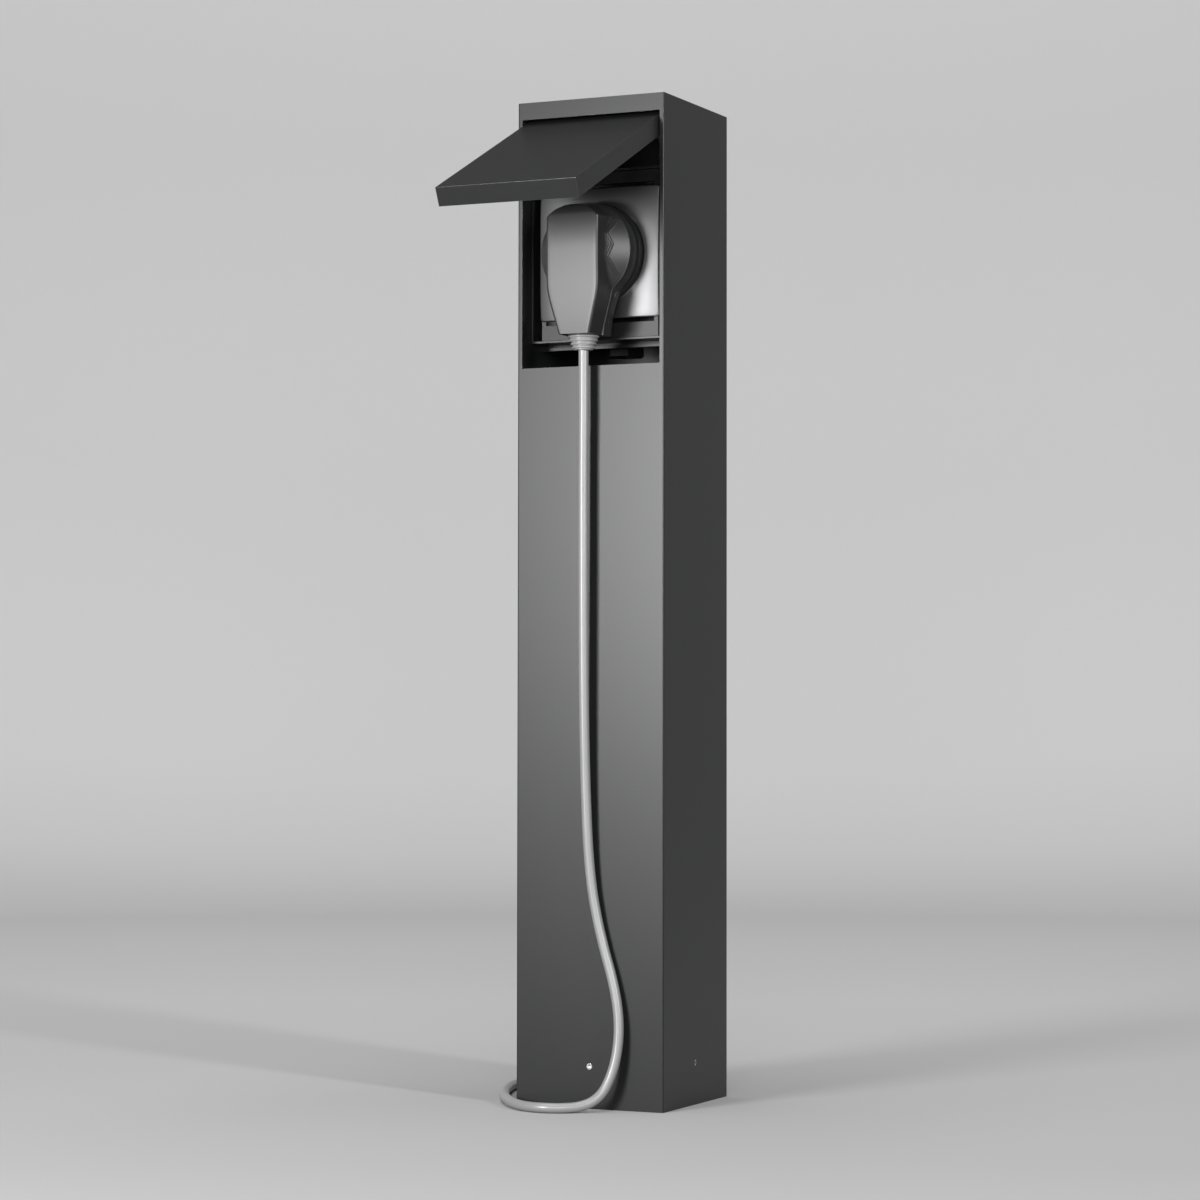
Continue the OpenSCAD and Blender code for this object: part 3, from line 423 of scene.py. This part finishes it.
# The neck leaves the head's circle at these shares of the head's radius, out and down
NECK_OUT, NECK_DOWN = 0.8, 0.6
HEAD_END = 0.62
NECK = [(18.7, -24.5), (15.6, -33.0), (13.6, -41.0), (12.2, -TAIL_DROP)]

# Heights of the shells' rows above the socket's centre
TAIL_ROWS = [-TAIL_DROP, -TAIL_DROP + 0.35, -TAIL_DROP + 1.0]
NECK_ROWS = [-TAIL_DROP + 1.5 * i for i in range(1, 23)]
RIB_ROWS = [-18 + 0.36 * i for i in range(106)]
HEAD_ROWS = [20.3 + 0.45 * i for i in range(15)]
RIM_ROWS = [27.8, 28.4, 29, 29.5, 29.9, 30.2, 30.35]


def outline_half(z):
    """Half width of the plug's outline at height z above the socket's centre."""
    head = math.sqrt(max(HEAD_R ** 2 - z * z, 0))
    side = [(HEAD_R * NECK_OUT, -HEAD_R * NECK_DOWN)] + NECK
    neck = 0
    for (x0, z0), (x1, z1) in zip(side, side[1:]):
        if z1 <= z <= z0:
            neck = x0 + (x1 - x0) * (z0 - z) / (z0 - z1)
    return max(head if z > -HEAD_R * HEAD_END else 0, neck)


# The grip: height of its shoulder, length of the bend there, arch at its top, crown and rounded top end
SHOULDER_Z, SHOULDER_BEND = -26.0, 6.0
ARCH_R, ARCH_Z = 23.7, 3.8
CROWN = 0.0011
TOP_END_Z, TOP_END_LENGTH, TOP_END_DROP = 20.5, 7.0, 3.4
GRIP_TOP = 27.2
GRIP_TOP_STEP = 0.02


def grip_half(z):
    """Half width of the grip: straight, bent softly into its taper, arched at the top."""
    slope = (GRIP_HALF - GRIP_END_HALF) / (TAIL_DROP + SHOULDER_Z)
    over = SHOULDER_Z + SHOULDER_BEND - z
    if over <= 0:
        taper = 0.0
    elif over < 2 * SHOULDER_BEND:
        taper = slope * over * over / (4 * SHOULDER_BEND)
    else:
        taper = slope * (over - SHOULDER_BEND)
    top = math.sqrt(max(ARCH_R ** 2 - (z - ARCH_Z) ** 2, 0)) if z > ARCH_Z else GRIP_HALF
    return min(GRIP_HALF - taper, top)


def grip_depth(z):
    """Depth of the grip in front of the joint line, gently crowned along its length."""
    over = max(z - TOP_END_Z, 0)
    rounded = 1 - math.sqrt(max(1 - (over / TOP_END_LENGTH) ** 2, 0))
    return GRIP_H - CROWN * z * z - TOP_END_DROP * rounded


# The front shell's section: steps from its middle to its rim, then the sizes of its edges
FACE_STEPS = 8
CORNER_STEPS = 10
FLANK_STEPS = 84
RIM_STEPS = 4
FLANK_START = FACE_STEPS + CORNER_STEPS
RIM_DEPTH = 1.0
RIM_EDGE = 0.45
RIM_GAP = 0.15
GRIP_EDGE = 1.7
EDGE_POWER = 0.92
FLANK_FILLET = 2.6
HEAD_CROWN, HEAD_CROWN_Z = 1.6, 12
EDGE_MOST = 0.4
FLANK_LEAST = 0.25
# The flank: lean of its steep side and rise of its skirt for each millimetre out, with the share of the
# width or drop that each may take at most, then the same shares for the fillet above and below its foot
FLANK_LEAN, LEAN_MOST = 0.7, 0.2
SKIRT_RISE, RISE_MOST = 0.82, 0.6
FILLET_MOST_ABOVE, FILLET_MOST_BELOW = 0.5, 0.7
ARC_TO_CHORD = 1.1


def flank(start, end, fillet):
    """A steep side, a fillet and a sloping skirt out to the rim."""
    room, drop = end.x - start.x, start.y - end.y
    foot = Vector((start.x + min(FLANK_LEAN, room * LEAN_MOST),
                   end.y + min(SKIRT_RISE * room, drop * RISE_MOST)))
    high = foot + (start - foot).normalized() * min(fillet, drop * FILLET_MOST_ABOVE)
    low = foot + (end - foot).normalized() * min(fillet, (end - foot).length * FILLET_MOST_BELOW)
    side_run = (start - high).length
    fillet_run = (high - low).length * ARC_TO_CHORD
    skirt_run = (end - low).length
    total = side_run + fillet_run + skirt_run
    out = []
    for i in range(1, FLANK_STEPS + 1):
        run = total * i / FLANK_STEPS
        if run <= side_run:
            p = start.lerp(high, run / side_run)
        elif run <= side_run + fillet_run:
            t = (run - side_run) / fillet_run
            p = (1 - t) ** 2 * high + 2 * (1 - t) * t * foot + t * t * low
        else:
            p = low.lerp(end, (run - side_run - fillet_run) / max(skirt_run, 1e-6))
        out.append((p.x, p.y))
    return out


def front_section(z):
    """The front shell at height z: points (x, depth in front of the joint line) from middle to rim."""
    rim = outline_half(z) - RIM_EDGE
    if z < GRIP_TOP:
        w, d = grip_half(z), grip_depth(z)
        b = min(GRIP_EDGE, w * EDGE_MOST)
        points = [((w - b) * i / FACE_STEPS, d) for i in range(FACE_STEPS + 1)]
        points += [
            (w - b + b * math.sin(a) ** EDGE_POWER, d - b + b * math.cos(a) ** EDGE_POWER)
            for a in quarter(CORNER_STEPS)
        ]
        end = Vector((max(rim, w + FLANK_LEAST), RIM_DEPTH))
        points += flank(Vector((w, d - b)), end, FLANK_FILLET)
    else:
        steps = FLANK_START + FLANK_STEPS
        crown = RIM_DEPTH + HEAD_CROWN * smoothstep(HEAD_R, HEAD_CROWN_Z, z)
        points = [(rim * i / steps, crown + (RIM_DEPTH - crown) * (i / steps) ** 2) for i in range(steps + 1)]
    x, y = points[-1]
    points += [
        (x + RIM_EDGE * math.sin(a), y - RIM_EDGE + RIM_EDGE * math.cos(a)) for a in quarter(RIM_STEPS)
    ]
    return points


# Ribs: (height, distance from the grip's edge) of the zigzag's turns; each rib's place and share of height
RIB_TURNS = [(-17.5, 12.2), (-15.1, 11.0), (-4.7, 4.4), (2.4, 7.6), (9.1, 3.6), (17.6, 10.6), (19.5, 12.0)]
RIBS = ((-1, 0.9), (0, 1.0), (1, 0.75))
RIB_GAP = 1.55
RIB_HALF = 0.38
RIB_HEIGHT = 0.42
RIB_LOW_END = (-17.0, -15.6)
RIB_HIGH_END = (18.0, 19.2)
# Cosine and sine of the camera's yaw, for distances as its picture shows them
SEEN_ACROSS, SEEN_DEPTH = 0.9065, 0.4222


def rib_line(z):
    """Distance of the middle rib from the grip's edge as the photograph's camera sees it, at height z."""
    for (z0, u0), (z1, u1) in zip(RIB_TURNS, RIB_TURNS[1:]):
        if z0 <= z <= z1:
            return u0 + (u1 - u0) * (z - z0) / (z1 - z0)
    return None


def with_ribs(points, z):
    """Raises three zigzag ribs on the flank beside the grip."""
    line = rib_line(z)
    if line is None:
        return points
    ends = smoothstep(*RIB_LOW_END, z) * (1 - smoothstep(*RIB_HIGH_END, z))
    first = Vector(points[FLANK_START])
    out = list(points)
    for i in range(FLANK_START + 2, len(points) - RIM_STEPS - 1):
        q = Vector(points[i])
        seen = SEEN_ACROSS * (q.x - first.x) + SEEN_DEPTH * (first.y - q.y)
        lift = 0.0
        for k, reach in RIBS:
            lift = max(lift, reach * max(1 - ((seen - line - RIB_GAP * k) / RIB_HALF) ** 2, 0))
        along = (Vector(points[i + 1]) - Vector(points[i - 1])).normalized()
        out[i] = (q.x - RIB_HEIGHT * lift * ends * along.y, q.y + RIB_HEIGHT * lift * ends * along.x)
    return out


def heights():
    """Heights of the front shell's rows, close together along the ribs and at the head's rim."""
    grip_end = [GRIP_TOP - GRIP_TOP_STEP, GRIP_TOP + GRIP_TOP_STEP]
    rows = TAIL_ROWS + NECK_ROWS + RIB_ROWS + HEAD_ROWS + grip_end + RIM_ROWS
    return sorted(set(round(z, 3) for z in rows))


def front_shell():
    """The shell in front of the joint line, closed behind by a flat face on that line."""
    rows = heights()
    points, faces = [], []
    width = 0
    for z in rows:
        half = with_ribs(front_section(z), z)
        full = [(-x, d) for x, d in reversed(half[1:])] + half
        width = len(full)
        for x, d in full:
            points.append((x, JOINT_Y - RIM_GAP - d, SOCKET_Z + z))
    for r in range(len(rows) - 1):
        for i in range(width - 1):
            a = r * width + i
            faces.append((a, a + 1, a + 1 + width, a + width))
    back = len(points)
    for z in rows:
        rim = outline_half(z)
        points.append((-rim, JOINT_Y, SOCKET_Z + z))
        points.append((rim, JOINT_Y, SOCKET_Z + z))
    for r in range(len(rows) - 1):
        left, right = back + 2 * r, back + 2 * r + 1
        faces.append((left, left + 2, right + 2, right))
        faces.append((r * width, (r + 1) * width, left + 2, left))
        faces.append((r * width + width - 1, right, right + 2, (r + 1) * width + width - 1))
    for r in (0, len(rows) - 1):
        row = [r * width + i for i in range(width)]
        faces.append(tuple(row + [back + 2 * r + 1, back + 2 * r]))
    return add_mesh("plug_front", points, faces, smooth_deg=28)


# Layers of the rear shell: distance in front of the seat, and how far the outline is drawn in
REAR_LAYERS = [(0.0, 0.8), (0.25, 0.25), (0.8, 0.0), (5.5, 0.0), (10.3, 0.0), (10.75, 0.22), (10.85, 0.7)]
REAR_LOW_CENTRE = 12


def rear_shell():
    """The shell between the seat and the joint line, with rounded edges."""
    rows = sorted(
        [-TAIL_DROP + 0.01] + NECK_ROWS + [HEAD_R * math.sin(math.radians(a)) for a in range(-36, 90, 3)]
    )
    ring = [(outline_half(z), z) for z in rows]
    loop = ring + [(0, HEAD_R)] + [(-x, z) for x, z in reversed(ring)]
    points = []
    count = len(loop)
    for depth, inset in REAR_LAYERS:
        for x, z in loop:
            centre = max(min(z, 0.0), -TAIL_DROP + REAR_LOW_CENTRE)
            reach = math.hypot(x, z - centre)
            share = max(reach - inset, 0) / reach
            points.append((x * share, SEAT_Y - depth, SOCKET_Z + centre + (z - centre) * share))
    faces = bands(0, len(REAR_LAYERS), count)
    faces.append(tuple(range(count)))
    faces.append(tuple((len(REAR_LAYERS) - 1) * count + i for i in reversed(range(count))))
    return add_mesh("plug_rear", points, faces, smooth_deg=40)


plug_front = dress(front_shell(), "plug_grey")
plug_rear = dress(rear_shell(), "plug_grey")
for piece, node_name in ((plug_front, "plug_front_shell"), (plug_rear, "plug_rear_shell")):
    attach(piece, "plug")
    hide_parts(node_name)


# Latches of the neck: heights above the socket's centre, half sizes, height of the dome, depth of its foot
LATCH_HEIGHTS = (-27.0, -43.5)
LATCH_HALF_WIDTH = 0.95
LATCH_HALF_HEIGHT = 2.1
LATCH_DOME = 0.45
LATCH_SUNK = 0.25
LATCH_Y = JOINT_Y + 5
LATCH_RINGS, LATCH_AROUND = 5, 20


def latches():
    """Four small oval latches at the sides of the neck."""
    points, faces = [], []
    for side in (-1, 1):
        for z in LATCH_HEIGHTS:
            lean = math.atan2(outline_half(z + 2) - outline_half(z - 2), 4)
            base = len(points)
            for a in [0.0] + quarter(LATCH_RINGS):
                for b in circle(LATCH_AROUND):
                    u = LATCH_HALF_WIDTH * math.cos(a) * math.cos(b)
                    v = LATCH_HALF_HEIGHT * math.cos(a) * math.sin(b)
                    out = LATCH_DOME * math.sin(a)
                    x = outline_half(z + v) - LATCH_SUNK + out * math.cos(lean)
                    points.append((side * x, LATCH_Y + u, SOCKET_Z + z + v - out * math.sin(lean)))
            faces += bands(base, LATCH_RINGS + 1, LATCH_AROUND)
            faces.append(tuple(base + k for k in reversed(range(LATCH_AROUND))))
    return add_mesh("latch_ovals", points, faces, smooth_deg=60)


latch = dress(latches(), "nickel")
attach(latch, "plug")
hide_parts("plug_latches")


# The strain relief below the plug's tail: a core that reaches up into the plug, then tapering rings
RELIEF_CORE_UP, RELIEF_CORE_R = 14.0, 7.0
CORE_FOOT = 0.05
RELIEF_LENGTH = 9.0
RELIEF_RINGS = 4
RELIEF_TOP_R, RELIEF_END_R = 9.7, 7.2
RELIEF_SIDES = 64
RING_SHARE = 0.68
RING_EDGE = 0.7
RING_STEPS = 8
RELIEF_MOUTH_R = 5.4
GROOVE_TOP_DEPTH, GROOVE_END_DEPTH, GROOVE_SLOPE = 1.3, 1.4, 0.05
NEAR_AXIS = 0.01


def relief_profile():
    """The relief's closed profile, as (height above the tail, radius)."""
    profile = [(RELIEF_CORE_UP, NEAR_AXIS), (RELIEF_CORE_UP, RELIEF_CORE_R), (CORE_FOOT, RELIEF_CORE_R)]
    ring = RELIEF_LENGTH / RELIEF_RINGS
    h = ring * RING_SHARE
    for i in range(RELIEF_RINGS):
        r = RELIEF_TOP_R + (RELIEF_END_R - RELIEF_TOP_R) * i / (RELIEF_RINGS - 1)
        top = -ring * i
        profile += [
            (top - h / 2 + h / 2 * math.cos(a), r - RING_EDGE + RING_EDGE * math.sin(a))
            for a in [math.radians(180 * k / RING_STEPS) for k in range(RING_STEPS + 1)]
        ]
        profile += [
            (top - h - GROOVE_SLOPE, r - GROOVE_TOP_DEPTH),
            (top - ring + GROOVE_SLOPE, r - GROOVE_END_DEPTH),
        ]
    profile += [(-RELIEF_LENGTH, RELIEF_MOUTH_R), (-RELIEF_LENGTH, NEAR_AXIS)]
    return profile


relief = dress(
    lathe("plug_relief", relief_profile(), (0, LEAD_Y, TAIL_Z), RELIEF_SIDES, smooth_deg=40),
    "lead_rubber",
)
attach(relief, "plug")
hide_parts("strain_relief")


# The cover plate with pillowed edges round the collar

COVER_HALF = 40.9
COVER_BOTTOM, COVER_TOP = 488.5, 570.5
COVER_HALF_Z = (COVER_TOP - COVER_BOTTOM) / 2
COVER_OFF = (COVER_BOTTOM + COVER_TOP) / 2 - SOCKET_Z
COVER_BACK_Y = SUPPORT_Y - 0.02
COVER_HOLE = 31.6
HOLE_EDGE = 0.3
COVER_CORNER = 2.4
COVER_AROUND = 240
# Where the rows of the face lie between the hole and the outline
COVER_ROWS = (0, 0.1, 0.22, 0.34, 0.46, 0.57, 0.67, 0.76, 0.83, 0.89, 0.93, 0.96, 0.98, 0.99, 1)
# How far the face falls back: towards its sides and its ends, then over its rounded edge
SIDE_FALL, SIDE_POWER = 2.5, 3.2
END_FALL, END_POWER = 1.3, 4.5
EDGE_FALL, EDGE_WIDTH = 0.6, 0.7
MOST_FALL = 3.7


def cover_outline(a):
    """The point (x, z) of the cover's outline in the direction a from the socket's centre."""
    c, s = math.cos(a), math.sin(a)
    high = COVER_HALF_Z + COVER_OFF if s > 0 else COVER_HALF_Z - COVER_OFF
    reach = min(COVER_HALF / max(abs(c), 1e-9), high / max(abs(s), 1e-9))
    x, z = reach * c, reach * s
    ox, oz = abs(x) - (COVER_HALF - COVER_CORNER), abs(z) - (high - COVER_CORNER)
    if ox > 0 and oz > 0 and math.hypot(ox, oz) > COVER_CORNER:
        n = math.hypot(ox, oz) / COVER_CORNER
        x = math.copysign(COVER_HALF - COVER_CORNER + ox / n, x)
        z = math.copysign(high - COVER_CORNER + oz / n, z)
    return x, z


def cover_fall(x, z):
    """Depth of the crowned face behind its middle, with a rounded edge."""
    u, v = abs(x) / COVER_HALF, abs(z - COVER_OFF) / COVER_HALF_Z
    out = SIDE_FALL * u ** SIDE_POWER + END_FALL * v ** END_POWER
    for inside in (COVER_HALF - abs(x), COVER_HALF_Z - abs(z - COVER_OFF)):
        turned = max(1 - max(inside, 0) / EDGE_WIDTH, 0)
        out += EDGE_FALL * (1 - math.sqrt(max(1 - turned ** 2, 0)))
    return min(out, MOST_FALL)


def cover_plate():
    """The cover as loops of points: up the hole's wall, out over the face, and back down the outside."""
    angles = [2 * math.pi * (k + 0.5) / COVER_AROUND for k in range(COVER_AROUND)]
    layers = [
        [(COVER_HOLE * math.cos(a), y, COVER_HOLE * math.sin(a)) for a in angles]
        for y in (COVER_BACK_Y, COVER_Y + HOLE_EDGE)
    ]
    for t in COVER_ROWS:
        layer = []
        for a in angles:
            ox, oz = cover_outline(a)
            ix, iz = (COVER_HOLE + HOLE_EDGE) * math.cos(a), (COVER_HOLE + HOLE_EDGE) * math.sin(a)
            x, z = ix + (ox - ix) * t, iz + (oz - iz) * t
            layer.append((x, COVER_Y + cover_fall(x, z), z))
        layers.append(layer)
    layers.append([(x, COVER_BACK_Y, z) for x, _, z in layers[-1]])
    points = [(x, y, SOCKET_Z + z) for layer in layers for x, y, z in layer]
    faces = bands(0, len(layers), COVER_AROUND, joined=True)
    return add_mesh("cover_pillow", points, faces, smooth_deg=40)


cover = dress(cover_plate(), "satin_cover")
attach(cover, "column")
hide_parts("cover_plate")


# CAD shapes with their sharp edges rounded: node, width of the rounding in millimetres, its segments

for node_name, width, segments in (
    ("column_tube", 0.45, 3), ("top_plate", 0.3, 2), ("flap", 0.45, 3), ("lip_frame", 0.15, 2),
    ("support_frame", 0.2, 2), ("carrier", 0.2, 1), ("socket_cup", 0.5, 3),
    ("set_screws", 0.15, 2), ("ground_base", 0.3, 2), ("hinge_rod", 0.3, 2),
    ("connector_body", 1.2, 3), ("connector_relief", 0.4, 2), ("coil_tie", 0.08, 1),
):
    shown = dress(bevelled_copy(node_name, width, segments), SLOTS[node_name])
    # Powder-coated copies take the painted edge highlight on their bevel faces
    if SLOTS[node_name] == "powder_coat":
        shown.data.materials.append(MATERIALS["coat_edge_highlight"])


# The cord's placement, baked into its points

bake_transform(lead)


# Studio: a pale round sweep with painted shade, soft lamps and an even world, in metres

VIEW = math.radians(CAMERA_YAW)
AWAY = Vector((-math.sin(VIEW), math.cos(VIEW), 0))
SWEEP_FORWARD = 0.6
FLOOR_R = 2.5
BEND_R = 1.1
WALL_TOP = 1.9
FLOOR_STEPS = 8
BEND_STEPS = 24
SWEEP_SIDES = 72
# The light that the sweep throws back, and the grey that is seen of it at each depth behind the object:
# darkest below the front lamp and lighter away from it, painted shade where the lamps light the sweep most
STUDIO_BOUNCE = (0.3, 0.3, 0.3)
STUDIO_PALE = ((-4.4, 0.9), (-3.3, 0.9), (-2.3, 0.7), (-1.8, 0.5), (-1.55, 0.27), (-1.3, 0.24),
               (-1.0, 0.335), (-0.3, 0.37), (0.3, 0.47), (0.72, 0.57), (1.45, 0.655), (2.05, 0.68),
               (2.28, 0.745), (2.6, 0.785), (3.4, 0.765), (4.4, 0.815))
PALE_REACH = 4.4
# Painted shade: towards the right the grey darkens from one distance to the other, down to this share
FADE_FROM, FADE_TO, FADE_LEAST = 1.25, 2.3, 0.65
# Painted shade near two of the lamps, where the grey is darker: x, y and its share there, within these
# distances
PAINTED_SHADE_SPOTS = ((-0.4, -1.45, 0.4), (1.58, -0.78, 0.35))
SPOT_INNER, SPOT_OUTER = 0.1, 0.65
WORLD_LEVEL = 0.12


def add_sweep():
    """A floor that curves up into a low wall all round, a little nearer to the object behind it."""
    middle = AWAY * -SWEEP_FORWARD
    profile = [(FLOOR_R * i / FLOOR_STEPS, 0.0) for i in range(1, FLOOR_STEPS + 1)]
    profile += [(FLOOR_R + BEND_R * math.sin(a), BEND_R * (1 - math.cos(a))) for a in quarter(BEND_STEPS)]
    profile += [(FLOOR_R + BEND_R, WALL_TOP)]
    points = [(middle.x * 1000, middle.y * 1000, 0)]
    for r, z in profile:
        for a in circle(SWEEP_SIDES):
            x, y = middle.x + r * math.cos(a), middle.y + r * math.sin(a)
            points.append((1000 * x, 1000 * y, 1000 * z))
    faces = [(0, 1 + k, 1 + (k + 1) % SWEEP_SIDES) for k in range(SWEEP_SIDES)]
    for i in range(len(profile) - 1):
        a = 1 + i * SWEEP_SIDES
        for k in range(SWEEP_SIDES):
            n = (k + 1) % SWEEP_SIDES
            faces.append((a + k, a + SWEEP_SIDES + k, a + SWEEP_SIDES + n, a + n))
    return add_mesh("studio_sweep", points, faces, smooth_deg=180)


def seen_directly(tree):
    """1 where the sweep is seen by the camera, in a reflection or through glass, and 0 where it lights."""
    path = add_node(tree, "ShaderNodeLightPath", {})
    seen = add_node(tree, "ShaderNodeMath", {
        0: path.outputs["Is Camera Ray"], 1: path.outputs["Is Glossy Ray"],
    }, operation="MAXIMUM")
    seen = add_node(tree, "ShaderNodeMath", {
        0: seen.outputs[0], 1: path.outputs["Is Transmission Ray"],
    }, operation="MAXIMUM")
    return seen.outputs[0]


def pale_grey(tree, place):
    """The grey of STUDIO_PALE, by the depth behind the object and the height, with painted shade near the
    front lamp.
    """
    depth = add_node(tree, "ShaderNodeVectorMath", {0: place, 1: (AWAY.x, AWAY.y, 1)},
                     operation="DOT_PRODUCT")
    ranged = add_node(tree, "ShaderNodeMapRange", {
        "Value": depth.outputs["Value"], "From Min": -PALE_REACH, "From Max": PALE_REACH,
    })
    pale = add_node(tree, "ShaderNodeValToRGB", {"Fac": ranged.outputs["Result"]})
    while len(pale.color_ramp.elements) < len(STUDIO_PALE):
        pale.color_ramp.elements.new(0.5)
    for element, (at, grey) in zip(pale.color_ramp.elements, STUDIO_PALE):
        element.position = (at + PALE_REACH) / (2 * PALE_REACH)
        element.color = (grey, grey, grey, 1)
    return pale.outputs["Color"]


def soft_range(tree, value, start, end, at_start, at_end):
    """Goes softly from at_start to at_end while the value goes from start to end."""
    ranged = add_node(tree, "ShaderNodeMapRange", {
        "Value": value, "From Min": start, "From Max": end, "To Min": at_start, "To Max": at_end,
    }, interpolation_type="SMOOTHSTEP")
    return ranged.outputs["Result"]


def painted_shade_level(tree, place):
    """The share of that grey which is left towards the right and below the lamps, where shade is painted."""
    across = add_node(tree, "ShaderNodeVectorMath", {0: place, 1: (AWAY.y, -AWAY.x, 0)},
                      operation="DOT_PRODUCT")
    level = soft_range(tree, across.outputs["Value"], FADE_FROM, FADE_TO, 1.0, FADE_LEAST)
    for x, y, least in PAINTED_SHADE_SPOTS:
        off = add_node(tree, "ShaderNodeVectorMath", {0: place, 1: (x, y, 0)}, operation="DISTANCE")
        spot = soft_range(tree, off.outputs["Value"], SPOT_INNER, SPOT_OUTER, least, 1.0)
        level = add_node(tree, "ShaderNodeMath", {0: level, 1: spot}, operation="MULTIPLY").outputs[0]
    return level


def studio_material():
    """A matt surface that throws back STUDIO_BOUNCE and is seen in a pale grey with painted shade."""
    made = bpy.data.materials.new("studio_pale")
    made.use_nodes = True
    tree = made.node_tree
    shader = tree.nodes["Principled BSDF"]
    shader.inputs["Roughness"].default_value = STUDIO_ROUGH
    shader.inputs["Specular IOR Level"].default_value = 0.0
    place = add_node(tree, "ShaderNodeTexCoord", {}).outputs["Object"]
    dimmed = add_node(tree, "ShaderNodeVectorMath", {}, operation="SCALE")
    tree.links.new(pale_grey(tree, place), dimmed.inputs[0])
    tree.links.new(painted_shade_level(tree, place), dimmed.inputs["Scale"])
    shade = add_node(tree, "ShaderNodeMix", {
        "Factor": seen_directly(tree), "A": (*STUDIO_BOUNCE, 1), "B": dimmed.outputs["Vector"],
    }, data_type="RGBA")
    tree.links.new(shade.outputs["Result"], shader.inputs["Base Color"])
    return made


sweep = add_sweep()
sweep.data.materials.append(studio_material())


def area_lamp(name, azimuth, distance, height, width, tall, power, aim=0.35):
    """A soft lamp; azimuth in degrees to the left of the front, distance and heights in metres."""
    data = bpy.data.lights.new(name, "AREA")
    data.shape = "RECTANGLE"
    data.size, data.size_y = width, tall
    data.energy = power
    lamp = bpy.data.objects.new(name, data)
    a = math.radians(azimuth)
    lamp.location = (-distance * math.sin(a), -distance * math.cos(a), height)
    lamp.rotation_euler = (Vector((0, 0, aim)) - lamp.location).to_track_quat("-Z", "Y").to_euler()
    lamp.visible_camera = False
    bpy.context.scene.collection.objects.link(lamp)


area_lamp("front_soft", azimuth=15.5, distance=1.7, height=0.52, width=0.42, tall=0.6, power=29)
area_lamp("top_soft", azimuth=0, distance=0.2, height=4.2, width=3.0, tall=3.0, power=110, aim=0)
area_lamp("right_soft", azimuth=-24, distance=1.9, height=0.6, width=0.7, tall=0.8, power=13)
area_lamp("right_strip", azimuth=-64, distance=1.9, height=0.8, width=0.15, tall=0.7, power=20)

world = bpy.data.worlds.new("studio_world")
bpy.context.scene.world = world
world.use_nodes = True
world.node_tree.nodes["Background"].inputs["Color"].default_value = (1, 1, 1, 1)
world.node_tree.nodes["Background"].inputs["Strength"].default_value = WORLD_LEVEL

bpy.context.scene.view_settings.view_transform = "Standard"
